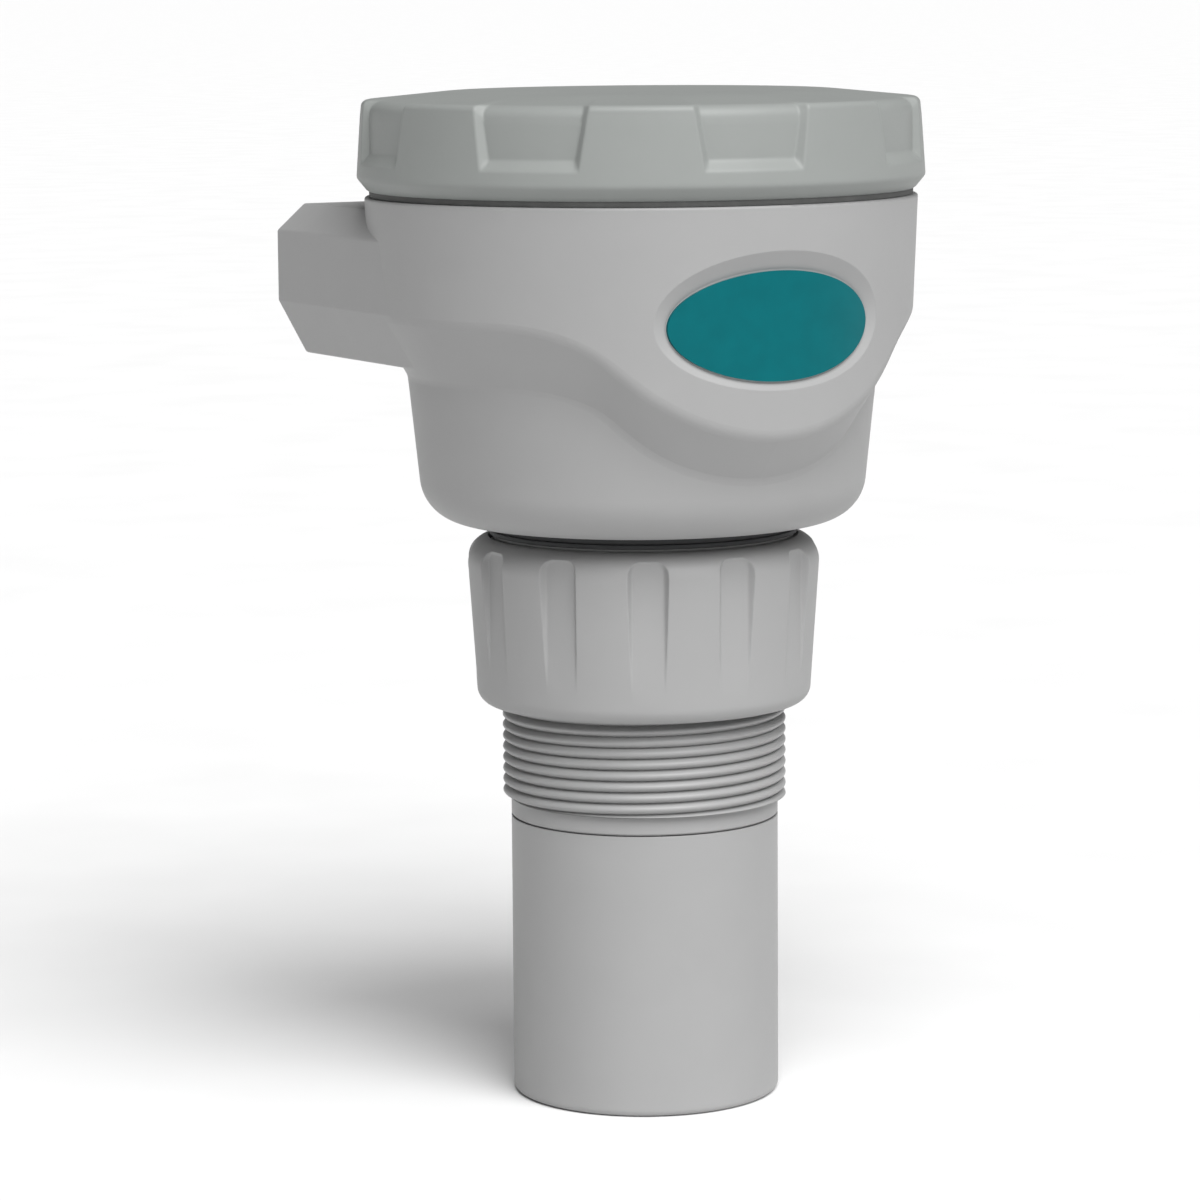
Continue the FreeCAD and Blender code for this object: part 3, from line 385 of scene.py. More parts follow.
def moulded_plastic(name, tone, gloss=0.5, grain=0.7, relief=0.006, soft=0.35):
    """Plastic moulded in a spark-eroded mould: satin, even grey, with softly rounded edges."""
    material, tree, place = new_material(name)
    # Flow of the melt, in faint clouds about 14 mm wide.
    flow = mottle(tree, place, 14.0, 3.0)
    base = add_node(tree, "ShaderNodeValToRGB", {"Fac": flow}, stops=[
        (0.3, shade(tone, 0.985)), (0.7, shade(tone, 1.012))]).outputs["Color"]
    # The eroded grain is about 0.05 mm wide; it is drawn coarser so that it shows.
    skin = mottle(tree, place, grain, 3.0, 0.6)
    rough = add_node(tree, "ShaderNodeMapRange", {
        "Value": skin, "To Min": gloss - 0.05, "To Max": gloss + 0.05}).outputs["Result"]
    edge = add_node(tree, "ShaderNodeBevel", {"Radius": soft * MM}, samples=6).outputs["Normal"]
    bump = add_node(tree, "ShaderNodeBump", {
        "Strength": 0.5, "Distance": relief * MM, "Height": skin, "Normal": edge}).outputs["Normal"]
    return finish_material(material, tree, {
        "Base Color": base, "Roughness": rough, "Normal": bump, "IOR": 1.42})


def printed_film(name, tone):
    """Reverse-printed polyester film: an even strong colour under a smooth half-gloss face."""
    material, tree, place = new_material(name)
    ink = mottle(tree, place, 5.0, 4.0)
    base = add_node(tree, "ShaderNodeValToRGB", {"Fac": ink}, stops=[
        (0.35, shade(tone, 0.95)), (0.65, shade(tone, 1.04))]).outputs["Color"]
    # Orange peel of the film, about 1 mm wide.
    peel = mottle(tree, place, 1.0, 1.0)
    rough = add_node(tree, "ShaderNodeMapRange", {
        "Value": peel, "To Min": 0.34, "To Max": 0.42}).outputs["Result"]
    bump = add_node(tree, "ShaderNodeBump", {
        "Strength": 0.25, "Distance": 0.004 * MM, "Height": peel}).outputs["Normal"]
    return finish_material(material, tree, {
        "Base Color": base, "Roughness": rough, "Normal": bump, "IOR": 1.2})


def moulded_rubber(name, tone, grain=0.5):
    """Compression-moulded rubber: dull and dark, with a dusty bloom."""
    material, tree, place = new_material(name)
    bloom = mottle(tree, place, 4.0, 4.0, 0.6)
    base = add_node(tree, "ShaderNodeValToRGB", {"Fac": bloom}, stops=[
        (0.4, tone), (0.75, shade(tone, 1.3))]).outputs["Color"]
    skin = mottle(tree, place, grain, 2.0)
    rough = add_node(tree, "ShaderNodeMapRange", {
        "Value": bloom, "To Min": 0.66, "To Max": 0.76}).outputs["Result"]
    bump = add_node(tree, "ShaderNodeBump", {
        "Strength": 0.5, "Distance": 0.02 * MM, "Height": skin}).outputs["Normal"]
    return finish_material(material, tree, {
        "Base Color": base, "Roughness": rough, "Normal": bump, "IOR": 1.52})


def plated_metal(name, tone, gloss, line):
    """Turned and plated metal: bright, with fine tool rings that drag the highlights."""
    material, tree, place = new_material(name)
    # The texture runs through 20 radians in one unit, so a ring is 2 pi lines wide: coarser than
    # real tool marks, so that it shows.
    unit_radians = 20
    rings = add_node(tree, "ShaderNodeTexWave", {
        "Vector": place, "Scale": 1 / (line * unit_radians), "Distortion": 0.4, "Detail": 2.0},
        wave_type="RINGS", rings_direction="Z").outputs["Fac"]
    tint = add_node(tree, "ShaderNodeValToRGB", {"Fac": rings}, stops=[
        (0.2, shade(tone, 0.9)), (0.8, tone)]).outputs["Color"]
    rough = add_node(tree, "ShaderNodeMapRange", {
        "Value": rings, "To Min": gloss, "To Max": gloss + 0.12}).outputs["Result"]
    bump = add_node(tree, "ShaderNodeBump", {
        "Strength": 0.3, "Distance": 0.01 * MM, "Height": rings}).outputs["Normal"]
    return finish_material(material, tree, {
        "Base Color": tint, "Metallic": 1.0, "Roughness": rough, "Normal": bump})


def masked_board(name):
    """Glass-epoxy board under green solder mask: glossy green over faintly raised copper runs."""
    material, tree, place = new_material(name)
    # Copper runs 0.5 mm wide on a 2.54 mm pitch.
    runs = add_node(tree, "ShaderNodeTexBrick", {
        "Vector": place, "Scale": 1.0, "Mortar Size": 0.25, "Mortar Smooth": 0.1,
        "Brick Width": 12.7, "Row Height": 2.54,
        "Color1": (*grey(0.0), 1), "Color2": (*grey(0.0), 1),
        "Mortar": (*grey(1.0), 1)}).outputs["Color"]
    weave = mottle(tree, place, 0.6, 2.0)
    base = add_node(tree, "ShaderNodeValToRGB", {"Fac": runs}, stops=[
        (0.0, linear("0F4A2C")), (1.0, linear("2E7A45"))]).outputs["Color"]
    rough = add_node(tree, "ShaderNodeMapRange", {
        "Value": weave, "To Min": 0.22, "To Max": 0.34}).outputs["Result"]
    bump = add_node(tree, "ShaderNodeBump", {
        "Strength": 0.4, "Distance": 0.03 * MM, "Height": runs}).outputs["Normal"]
    return finish_material(material, tree, {
        "Base Color": base, "Roughness": rough, "Normal": bump, "IOR": 1.5})


def cast_resin(name, dark, light, gloss, grain=1.5, relief=0.05):
    """Poured or pressed filler: two close tones in a fine grain, with a slightly uneven face."""
    material, tree, place = new_material(name)
    cloud = mottle(tree, place, grain, 5.0, 0.65)
    base = add_node(tree, "ShaderNodeValToRGB", {"Fac": cloud}, stops=[
        (0.35, linear(dark)), (0.65, linear(light))]).outputs["Color"]
    rough = add_node(tree, "ShaderNodeMapRange", {
        "Value": cloud, "To Min": gloss - 0.06, "To Max": gloss + 0.06}).outputs["Result"]
    bump = add_node(tree, "ShaderNodeBump", {
        "Strength": 0.4, "Distance": relief * MM, "Height": cloud}).outputs["Normal"]
    return finish_material(material, tree, {
        "Base Color": base, "Roughness": rough, "Normal": bump, "IOR": 1.5})


def display_face(name):
    """Clear moulded window over a reflective liquid-crystal panel: grey-green dot field."""
    material, tree, place = new_material(name)
    # Distance between the dots of the panel, in millimetres.
    dot_pitch = 0.6
    dots = add_node(tree, "ShaderNodeTexVoronoi", {
        "Vector": place, "Scale": 1 / dot_pitch, "Randomness": 0.0}).outputs["Distance"]
    base = add_node(tree, "ShaderNodeValToRGB", {"Fac": dots}, stops=[
        (0.25, linear("7F8B76")), (0.5, linear("6F7A68"))]).outputs["Color"]
    haze = mottle(tree, place, 3.0)
    rough = add_node(tree, "ShaderNodeMapRange", {
        "Value": haze, "To Min": 0.08, "To Max": 0.16}).outputs["Result"]
    return finish_material(material, tree, {
        "Base Color": base, "Roughness": rough, "IOR": 1.49, "Coat Weight": 0.6,
        "Coat Roughness": 0.05})


def dress(node, material):
    """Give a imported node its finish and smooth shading."""
    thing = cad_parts[node]
    thing.data.materials.clear()
    thing.data.materials.append(material)
    soften(thing.data)


def finished(thing, material, body, slot, *stands_for):
    """Give a new piece its finish, the body that it rides on and the nodes that it replaces."""
    thing.data.materials.clear()
    thing.data.materials.append(material)
    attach(thing, body)
    if stands_for:
        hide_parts(*stands_for)


# Operators

class TRANSMITTER_OT_sensor(Operator):
    """Finish the sensor tube and the pieces that are potted in it"""
    bl_idname = "transmitter.sensor"
    bl_label = "Sensor tube"

    def execute(self, context):
        tone = tuple(context.scene.transmitter_finish.tube)
        dress("transducer_cup", moulded_plastic("moulded_pvdf_tube", tone, gloss=0.42))
        # Epoxy filled with glass beads: pale and finely speckled.
        dress("matching_layer", cast_resin("cast_glass_bead_epoxy", "C9C6B8", "DAD7CB", 0.5, 0.4))
        # Fired ceramic: dull grey-brown with the finest grain.
        dress("piezo_disc", cast_resin("fired_piezo_ceramic", "8B8678", "A19B8B", 0.55, 0.3))
        # Cast polyurethane: dark and rather dull.
        dress("damping_ring", cast_resin("cast_polyurethane", "2B2C2E", "3A3B3D", 0.6, 1.0))
        # Cut foam: matt grey with open pores.
        dress("backing_foam", cast_resin("cut_grey_foam", "5A5B5C", "77787A", 0.9, 0.5, 0.3))
        # Extruded PVC: dark with a soft shine.
        dress("sensor_lead", cast_resin("extruded_pvc_jacket", "2C2D2F", "38393B", 0.45, 0.6))
        # Dipped and poured epoxy: black and glossy.
        dress("temperature_sensor", cast_resin("dipped_bead_epoxy", "1D1F24", "2A2C33", 0.2, 0.8))
        dress("potting", cast_resin("poured_black_epoxy", "151617", "222324", 0.25, 3.0))
        # Moulded PBT: black and half matt.
        dress("sensor_plug", cast_resin("moulded_pbt_plug", "202122", "2B2C2D", 0.5, 0.5))
        return {"FINISHED"}


class TRANSMITTER_OT_process_connection(Operator):
    """Build the threaded process connection with its flange"""
    bl_idname = "transmitter.process_connection"
    bl_label = "Process connection"

    def execute(self, context):
        sizes = in_mm(context.scene.transmitter_connection)
        low, high = box_mm("process_connection")
        tube, edge = box_mm("transducer_cup")[1].x, sizes.edge
        pitch, phase = sizes.pitch, sizes.crest_level
        foot = low.z + sizes.ring
        top = foot + sizes.pin
        columns, per_turn, fullness = 180, 14, 0.95
        angles = np.linspace(0, math.tau, columns, endpoint=False)
        first = math.floor((foot - phase) / pitch) - 1
        last = math.ceil((top - phase) / pitch) + 1
        thread = []
        # Rows follow the helix, so that every crest and groove is a smooth line of the mesh.
        for row in range(first * per_turn, last * per_turn + 1):
            free = phase + pitch * (row / per_turn + angles / math.tau)
            level = np.clip(free, foot, top)
            share = (level - phase) / pitch - angles / math.tau
            share = np.abs(share - np.round(share)) * 2
            # The rounded form is 1 on a crest and 0 at the bottom of a groove.
            form = np.clip(1 - share ** 2, 0, 1) ** fullness
            thread.append(on_axis(angles, sizes.crest - sizes.depth * (1 - form), level))
        seat = high.z - sizes.flange
        below = [(sizes.bore, low.z), (tube - edge, low.z), (tube, low.z + edge),
                 (tube, foot - edge), (tube - edge, foot)]
        above = [(sizes.relief, top), (sizes.relief, seat), (high.x - edge, seat),
                 (high.x, seat + edge), (high.x, high.z - edge), (high.x - edge, high.z),
                 (sizes.bore, high.z)]
        piece = helical_pin("process_connection_threaded", turned_rings(angles, below),
                            np.array(thread), turned_rings(angles, above), per_turn)
        tone = tuple(context.scene.transmitter_finish.tube)
        skin = moulded_plastic("moulded_pvdf_thread", tone, gloss=0.42, grain=0.5,
                               relief=0.004, soft=0.2)
        finished(piece, skin, "sensor", "tube_plastic", "process_connection")
        return {"FINISHED"}


def helical_pin(name, lower, thread, upper, shift):
    """Closed skin of a threaded pin between two turned ends.

    One step round the seam of the thread's rows is one turn further up the helix, so the rows
    join with that shift there."""
    rings = np.concatenate([lower, thread, upper])
    count, width = rings.shape[:2]
    start, end = len(lower), len(lower) + len(thread)
    faces = []
    for ring in range(count):
        after = (ring + 1) % count
        for spot in range(width):
            beside = (spot + 1) % width
            jump = shift if beside == 0 else 0
            here_in, after_in = start <= ring < end, start <= after < end
            near = min(ring + jump, end - 1) if here_in else ring
            far = min(after + jump, end - 1) if after_in else after
            faces.append((ring * width + spot, near * width + beside,
                          far * width + beside, after * width + spot))
    return mesh_object(name, rings.reshape(-1, 3), faces)


class TRANSMITTER_OT_union_nut(Operator):
    """Build the fluted union nut"""
    bl_idname = "transmitter.union_nut"
    bl_label = "Union nut"

    def execute(self, context):
        sizes = in_mm(context.scene.transmitter_nut)
        piece = grid_object("union_nut_fluted", nut_rings(sizes, *box_mm("union_nut")))
        tone = tuple(context.scene.transmitter_finish.nut)
        skin = moulded_plastic("moulded_polypropylene_nut", tone)
        finished(piece, skin, "nut", "nut_plastic", "union_nut")
        thread = thread_ridge("union_nut_thread", sizes.chamber, UNION_THREAD, -1, sizes.pitch,
                              sizes.thread_start, sizes.thread_end)
        finished(thread, skin, "nut", "nut_plastic")
        return {"FINISHED"}


def nut_rings(sizes, low, high):
    """Rings of the nut's skin: a tapered outside that the flutes cut flat, and a stepped bore."""
    foot_swell, rim_depth, bevel_height, bevel_width = 0.2, 0.5, 1.0, 0.8
    column_radius, least_gap, flank_bend, rim_bend = 36.0, 0.01, 0.3, 0.16
    rise = high.z - low.z
    taper = math.atan((sizes.top_radius - sizes.foot_radius) / rise)
    lean = math.degrees(taper)
    low_centre = (sizes.foot_radius - sizes.corner + foot_swell, low.z + sizes.corner)
    high_centre = (sizes.shoulder_radius, high.z - sizes.shoulder)
    wall_end = (high_centre[0] + sizes.shoulder * math.cos(taper),
                high_centre[1] - sizes.shoulder * math.sin(taper))
    rim = (sizes.chamber + sizes.mouth - high_centre[0]) / sizes.shoulder
    section = arc(low_centre, sizes.corner, -90, -lean, 10)
    section += along(section[-1], wall_end, 30)[1:]
    section += arc(high_centre, sizes.shoulder, -lean, math.degrees(math.acos(rim)), 26)
    outer = np.array(section)
    ledge = low.z + sizes.lip
    inner = [(sizes.chamber, high.z - rim_depth), (sizes.chamber, ledge), (sizes.bore, ledge),
             (sizes.bore, low.z + bevel_height), (sizes.bore + bevel_width, low.z)]
    half = sizes.flute_width / 2
    segment = math.tau / sizes.count
    # Columns stand closest where the floor of a flute turns up into its flank.
    spread = np.array([-2.3, -1.3, -0.8, -0.5, -0.3, -0.15, 0, 0.15, 0.3, 0.45, 0.6, 0.8, 1.0,
                       1.25, 1.6, 2.1, 2.9, 3.9, 5.1])
    steps = np.arcsin(np.concatenate([[0], half + spread]) / column_radius)
    steps = steps[steps < segment / 2 - least_gap]
    one = np.concatenate([-steps[:0:-1], steps, [segment / 2]])
    angles = np.concatenate([one + index * segment for index in range(sizes.count)])
    offset = angles - np.repeat(np.arange(sizes.count) * segment, len(one))
    radius, level = outer[:, :1], outer[:, 1:]
    # Distance from the edge of a flute's floor, whose upper corners are rounded.
    beside = np.abs(radius * np.sin(offset)) - (half - sizes.flute_round)
    above = level - (high.z - sizes.flute_drop - sizes.flute_round)
    away = np.hypot(np.maximum(beside, 0), np.maximum(above, 0)) - sizes.flute_round
    away = away + np.minimum(np.maximum(beside, above), 0)
    cut = (sizes.flute_floor + sizes.flute_rise * bend(away, flank_bend)) / np.cos(offset)
    shaped = lesser(np.broadcast_to(radius, cut.shape), cut, rim_bend)
    angles = angles + sizes.flute_turn
    outside = np.array([on_axis(angles, reach, height) for reach, height in zip(shaped, level)])
    return np.concatenate([outside, turned_rings(angles, inner)])


class TRANSMITTER_OT_housing(Operator):
    """Finish the head housing and thread its conduit entries"""
    bl_idname = "transmitter.housing"
    bl_label = "Head housing"

    def execute(self, context):
        sizes = in_mm(context.scene.transmitter_head)
        tone = tuple(context.scene.transmitter_finish.housing)
        skin = moulded_plastic("moulded_pbt_housing", tone)
        dress("housing", skin)
        union_pitch = in_mm(context.scene.transmitter_nut).pitch
        lid_pitch = in_mm(context.scene.transmitter_lid).pitch
        threads = [
            thread_ridge("stub_thread", sizes.stub, UNION_THREAD, 1, union_pitch,
                         sizes.stub_start, sizes.stub_end),
            thread_ridge("neck_thread", sizes.neck, LID_THREAD, 1, lid_pitch,
                         sizes.neck_start, sizes.neck_end)]
        # An entry's thread is made upright and then laid down to point to the rear.
        entry_start = 0.9
        laid_down = Matrix.Rotation(math.radians(-90), 4, "X")
        for side, word in ((-1, "left"), (1, "right")):
            thread = thread_ridge("entry_thread_" + word, sizes.entry, ENTRY_THREAD, -1,
                                  sizes.entry_pitch, entry_start, sizes.entry_depth,
                                  fade=60.0, step=10.0)
            spot = Vector((side * sizes.entry_aside, sizes.entry_back, sizes.entry_level)) * MM
            thread.data.transform(Matrix.Translation(spot) @ laid_down)
            threads.append(thread)
        for thread in threads:
            finished(thread, skin, "head", "housing_plastic")
        return {"FINISHED"}


class TRANSMITTER_OT_label(Operator):
    """Finish the bare label plate"""
    bl_idname = "transmitter.label"
    bl_label = "Label plate"

    def execute(self, context):
        tone = tuple(context.scene.transmitter_finish.label)
        dress("label_plate", printed_film("printed_polyester_label", tone))
        return {"FINISHED"}


class TRANSMITTER_OT_lid(Operator):
    """Build the notched screw lid"""
    bl_idname = "transmitter.lid"
    bl_label = "Screw lid"

    def execute(self, context):
        sizes = in_mm(context.scene.transmitter_lid)
        low, high = box_mm("lid")
        piece = grid_object("lid_notched", lid_rings(sizes, low.z, high.z))
        tone = tuple(context.scene.transmitter_finish.lid)
        skin = moulded_plastic("moulded_pbt_lid", tone)
        finished(piece, skin, "lid", "lid_plastic", "lid")
        thread = thread_ridge("lid_thread", sizes.bore, LID_THREAD, -1, sizes.pitch,
                              sizes.thread_start, sizes.thread_end)
        finished(thread, skin, "lid", "lid_plastic")
        return {"FINISHED"}


def lid_profiles(sizes, foot, top):
    """Sections of the lid's outside, through the wall and through a notch, point for point."""
    rim, wall = (sizes.rim_radius, foot + sizes.rim_rise), (sizes.wall_radius, top - sizes.crown)
    lean = (rim[0] - wall[0]) / (wall[1] - rim[1])
    floor_top = (sizes.floor, top - sizes.floor_drop)
    fall = sizes.crown / (sizes.wall_radius - sizes.disc)
    run_out = (sizes.notch_end, top - (sizes.notch_end - sizes.disc) * fall)
    # From the foot's edge to the rim, with a small rounding at either end.
    bevel = [(sizes.foot_radius, foot), (sizes.foot_radius + 0.5, foot + 0.35),
             (rim[0] - 0.65, foot + 1.95), (rim[0] - 0.3, rim[1] - 0.35), (rim[0] - 0.1, rim[1])]
    # Heights of the rows over the sill, closest where the notch sinks in.
    rises = np.array([-2.6, -2.0, -1.0, -0.5, -0.25, 0, 0.25, 0.6, 1.0, 1.4, 1.8, 2.15, 2.4, 2.65,
                      3.0, 3.8, 5.3, 6.8, 8.0, 8.8, 9.3])
    outer, inner = list(bevel), list(bevel)
    for level in sizes.sill + rises:
        outer.append((rim[0] - (level - rim[1]) * lean, level))
        inner.append((sizes.floor + (wall[1] - level) * sizes.floor_lean, level))
    outer += shoulder_points(wall, sizes.edge, run_out)
    inner += shoulder_points(floor_top, sizes.floor_round, run_out)
    # The slope eases into the disc, which runs to the axis.
    flat = [(sizes.disc + 3.0, top - 3.0 * fall), (sizes.disc + 1.0, top - 1.0 * fall),
            (sizes.disc, top - 0.03), (sizes.disc - 1.5, top), (25.0, top), (12.0, top), (0.0, top)]
    return np.array(outer + flat), np.array(inner + flat)


def shoulder_points(corner, radius, end, steps=9):
    """Arc round a corner and a slope from there to an end, as a fixed number of points."""
    fall = math.atan((end[1] - corner[1]) / (corner[0] - end[0]))
    reach = radius * math.tan((math.pi / 2 - fall) / 2)
    centre = (corner[0] - radius, corner[1] - reach)
    points = arc(centre, radius, 0, math.degrees(math.pi / 2 - fall), steps)
    return points + along(points[-1], end, steps)[1:] + [end]


def lid_rings(sizes, foot, top):
    """Rings of the lid's skin, whose outside sinks to the inner profile in the notches."""
    side_slope, least_run, corner_bend, edge_bend = 0.85, 0.95, 0.3, 0.18
    ceiling_bevel, foot_bevel = 1.5, 0.6
    outer, inner = lid_profiles(sizes, foot, top)
    wall_top = top - sizes.crown
    span = (np.clip(outer[:, 1], sizes.sill, wall_top) - sizes.sill) / (wall_top - sizes.sill)
    half = sizes.half_sill + (sizes.half_top - sizes.half_sill) * span
    # Width of a notch's sloped side, wider where the notch is deep.
    run = np.maximum(side_slope * np.hypot(*(outer - inner).T), least_run)
    segment = math.tau / sizes.count
    rings = []
    for row, (reach, level) in enumerate(outer):
        size = max(reach, sizes.notch_end)
        floor_edge = half[row] - run[row] / size
        # Columns stand closest at the foot and at the head of the notch's side.
        spots = [share * (floor_edge - 0.5 / size) for share in (0, 0.35, 0.65, 0.88)]
        spots += [floor_edge + step / size for step in (-0.5, -0.25, 0, 0.2)]
        spots += [half[row] + step / size for step in (-0.45, -0.2, 0, 0.25, 0.5)]
        spots += [spots[-1] + (segment / 2 - spots[-1]) * share for share in (0.2, 0.45, 0.7)]
        one = np.concatenate([-np.array(spots[:0:-1]), spots, [segment / 2]])
        side = (half[row] - np.abs(one)) * size / run[row]
        rise = np.full_like(side, (level - sizes.sill) / sizes.slope)
        inside = lesser(side, rise, corner_bend)
        weight = np.clip(bend(inside, edge_bend) - bend(inside - 1, edge_bend), 0, 1)
        section = outer[row] + weight[:, None] * (inner[row] - outer[row])
        rings.append(around(sizes, one, section[:, 0], section[:, 1]))
    ceiling = top - sizes.roof
    below = [(0.0, ceiling), (sizes.bore - ceiling_bevel, ceiling),
             (sizes.bore, ceiling - ceiling_bevel), (sizes.bore, foot + foot_bevel),
             (sizes.bore + foot_bevel, foot)]
    rings += [around(sizes, one, np.full_like(one, reach), level) for reach, level in below]
    return np.array(rings)


def around(sizes, one, reach, level):
    """Points of one notch's share of a ring, repeated for every notch."""
    segment = math.tau / sizes.count
    return np.concatenate([on_axis(one + index * segment + sizes.notch_turn, reach, level)
                           for index in range(sizes.count)])


class TRANSMITTER_OT_seals(Operator):
    """Finish the rubber seals"""
    bl_idname = "transmitter.seals"
    bl_label = "Seals"

    def execute(self, context):
        finish = context.scene.transmitter_finish
        sizes = in_mm(context.scene.transmitter_head)
        skin = moulded_rubber("moulded_epdm_seal", tuple(finish.rubber))
        dress("union_gasket", skin)
        dress("lid_gasket", moulded_rubber("moulded_silicone_gasket", tuple(finish.gasket)))
        low, high = box_mm("dust_seal")
        rim, neck, inner = sizes.seal, sizes.seal_neck, sizes.stub
        # A lip 1 mm high with rounded edges, and a narrower neck above it.
        ring = turned("dust_seal_ring", [
            (inner, low.z), (rim - 0.25, low.z), (rim - 0.07, low.z + 0.1), (rim, low.z + 0.3),
            (rim, low.z + 0.7), (rim - 0.07, low.z + 0.9), (rim - 0.25, low.z + 1.0),
            (neck, low.z + 1.05), (neck, high.z), (inner, high.z)])
        finished(ring, skin, "head", "black_rubber", "dust_seal")
        return {"FINISHED"}


class TRANSMITTER_OT_electronics(Operator):
    """Finish the boards, the deck, the operating module and the terminals"""
    bl_idname = "transmitter.electronics"
    bl_label = "Electronics"

    def execute(self, context):
        board = masked_board("masked_glass_epoxy_board")
        for node in ("main_board", "power_board"):
            dress(node, board)
        # Moulded ABS: even and nearly black, half matt.
        dark = cast_resin("moulded_abs_module", "232527", "2D2F31", 0.5, 0.6, 0.02)
        for node in ("contact_socket", "electronics_deck", "display_module"):
            dress(node, dark)
        # Nickelled brass: warm and bright. Zinc-plated steel: cooler and a little duller.
        dress("board_spacers", plated_metal("turned_nickel_brass", linear("B9B39E"), 0.25, 0.2))
        steel = plated_metal("turned_zinc_steel", linear("A9ABAE"), 0.3, 0.15)
        for node in ("deck_screws", "terminal_screws"):
            dress(node, steel)
        dress("display_window", display_face("moulded_acrylic_display"))
        # Moulded polyamide: strong green with a soft shine.
        green = cast_resin("moulded_green_polyamide", "1F6B3F", "267A49", 0.42, 0.8)
        dress("terminal_block", green)
        # Moulded silicone: pale grey and dull.
        key = cast_resin("moulded_silicone_key", "B9BBBC", "C4C6C7", 0.6, 0.5, 0.02)
        for node in ("button_1", "button_2", "button_3", "button_4"):
            dress(node, key)
        return {"FINISHED"}


class TRANSMITTER_OT_studio(Operator):
    """Set the floor, the soft lights and the camera"""
    bl_idname = "transmitter.studio"
    bl_label = "Studio"

    def execute(self, context):
        studio = context.scene.transmitter_studio
        context.scene.view_settings.view_transform = "Standard"
        floor = bpy.data.objects.new("floor", floor_mesh())
        floor.data.materials.append(floor_paint())
        context.scene.collection.objects.link(floor)
        context.scene.world = studio_sky(studio.sky)
        add_key(studio)
        add_camera(studio)
        return {"FINISHED"}


def studio_sky(strength):
    """Even sky that turns white at the horizon, so that the floor has no visible edge."""
    world = bpy.data.worlds.new("studio_sky")
    world.use_nodes = True
    tree = world.node_tree
    way = add_node(tree, "ShaderNodeTexCoord").outputs["Generated"]
    height = add_node(tree, "ShaderNodeSeparateXYZ", {"Vector": way}).outputs["Z"]
    # Sines of the angles above the horizon between which the white fades into the sky.
    white_end, sky_start = 0.02, 0.12
    glow = add_node(tree, "ShaderNodeValToRGB", {"Fac": height}, stops=[
        (white_end, grey(1.0)), (sky_start, grey(strength))]).outputs["Color"]
    tree.links.new(glow, tree.nodes["Background"].inputs["Color"])
    return world


def floor_mesh():
    """Wide round floor, 0.1 mm under the part and 60 m out to its edge."""
    count, reach, level = 96, 60.0, -0.1 * MM
    turns = [math.tau * step / count for step in range(count)]
    spots = [(reach * math.cos(a), reach * math.sin(a), level) for a in turns]
    mesh = bpy.data.meshes.new("floor")
    mesh.from_pydata(spots, [], [tuple(range(count))])
    return mesh


def floor_paint():
    """Matt painted board: a clean pale surface with a faint roller texture."""
    material, tree, place = new_material("painted_board_floor")
    cloud = mottle(tree, place, 60.0)
    base = add_node(tree, "ShaderNodeValToRGB", {"Fac": cloud}, stops=[
        (0.3, linear("E0E0E0")), (0.7, linear("E4E4E4"))]).outputs["Color"]
    return finish_material(material, tree, {"Base Color": base, "Roughness": 0.8})


def add_key(studio):
    """Broad soft light from the upper right."""
    light = bpy.data.lights.new("soft_key", "SUN")
    light.energy, light.angle = studio.key, studio.key_spread
    way = Vector((math.sin(studio.key_turn) * math.cos(studio.key_height),
                  -math.cos(studio.key_turn) * math.cos(studio.key_height),
                  math.sin(studio.key_height)))
    lamp = bpy.data.objects.new("soft_key", light)
    lamp.rotation_euler = way.to_track_quat("Z", "Y").to_euler()
    bpy.context.scene.collection.objects.link(lamp)


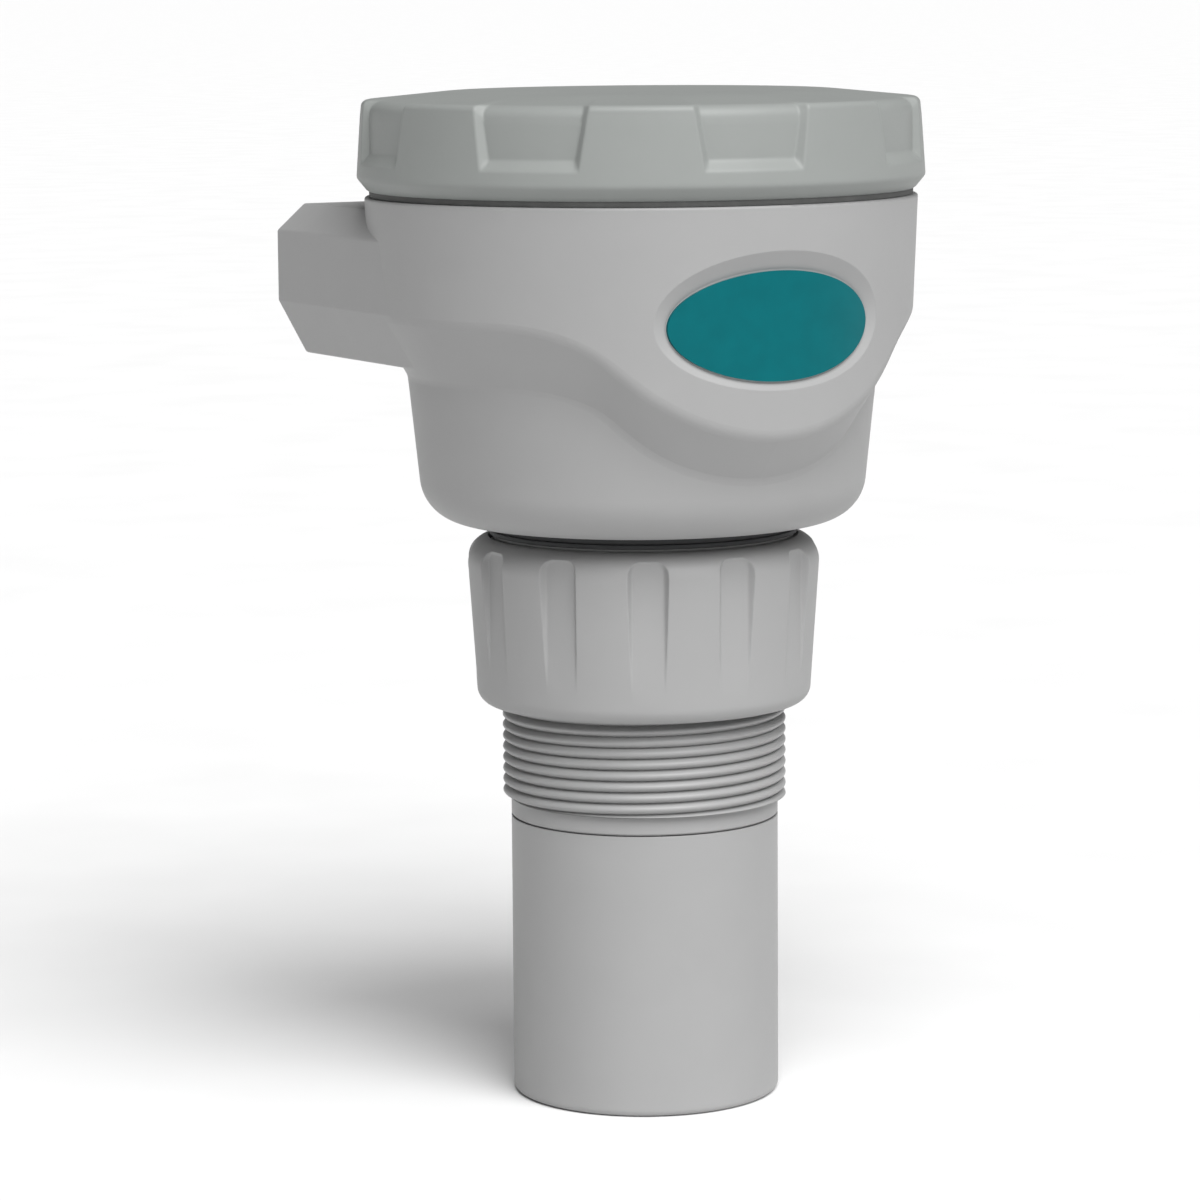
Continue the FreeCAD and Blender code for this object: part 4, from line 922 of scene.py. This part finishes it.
def add_camera(studio):
    """Camera at the photograph's angle."""
    back = Vector((math.sin(studio.azimuth) * math.cos(studio.pitch),
                   -math.cos(studio.azimuth) * math.cos(studio.pitch), math.sin(studio.pitch)))
    right = Vector((math.cos(studio.azimuth), math.sin(studio.azimuth), 0))
    up = back.cross(right)
    turned_right = right * math.cos(studio.roll) + up * math.sin(studio.roll)
    turned_up = up * math.cos(studio.roll) - right * math.sin(studio.roll)
    place = Vector((0, 0, studio.target)) + turned_right * studio.aside + back * studio.distance
    sensor_width = 36.0
    lens = bpy.data.cameras.new("camera")
    lens.lens, lens.sensor_width = studio.lens, sensor_width
    camera = bpy.data.objects.new("camera", lens)
    axes = Matrix((turned_right, turned_up, back)).transposed().to_4x4()
    camera.matrix_world = Matrix.Translation(place) @ axes
    bpy.context.scene.collection.objects.link(camera)
    bpy.context.scene.camera = camera


OPERATORS = (
    TRANSMITTER_OT_sensor, TRANSMITTER_OT_process_connection, TRANSMITTER_OT_union_nut,
    TRANSMITTER_OT_housing, TRANSMITTER_OT_label, TRANSMITTER_OT_lid, TRANSMITTER_OT_seals,
    TRANSMITTER_OT_electronics, TRANSMITTER_OT_studio)


class TRANSMITTER_PT_panel(Panel):
    """Buttons that build and finish the transmitter"""
    bl_label = "Level transmitter"
    bl_space_type = "VIEW_3D"
    bl_region_type = "UI"
    bl_category = "Transmitter"

    def draw(self, context):
        for operator in OPERATORS:
            self.layout.operator(operator.bl_idname)


GROUPS = {
    "transmitter_connection": TransmitterConnection, "transmitter_nut": TransmitterNut,
    "transmitter_lid": TransmitterLid, "transmitter_head": TransmitterHead,
    "transmitter_finish": TransmitterFinish, "transmitter_studio": TransmitterStudio}


def register():
    """Add the classes, and their values to every scene."""
    for kind in (*GROUPS.values(), *OPERATORS, TRANSMITTER_PT_panel):
        bpy.utils.register_class(kind)
    for name, kind in GROUPS.items():
        setattr(bpy.types.Scene, name, PointerProperty(type=kind))


def unregister():
    """Take the values and the classes away again."""
    for name in GROUPS:
        delattr(bpy.types.Scene, name)
    for kind in reversed((*GROUPS.values(), *OPERATORS, TRANSMITTER_PT_panel)):
        bpy.utils.unregister_class(kind)


def main():
    """Build and finish everything in order."""
    register()
    for operator in OPERATORS:
        group, name = operator.bl_idname.split(".")
        getattr(getattr(bpy.ops, group), name)()


if __name__ == "__main__":
    main()
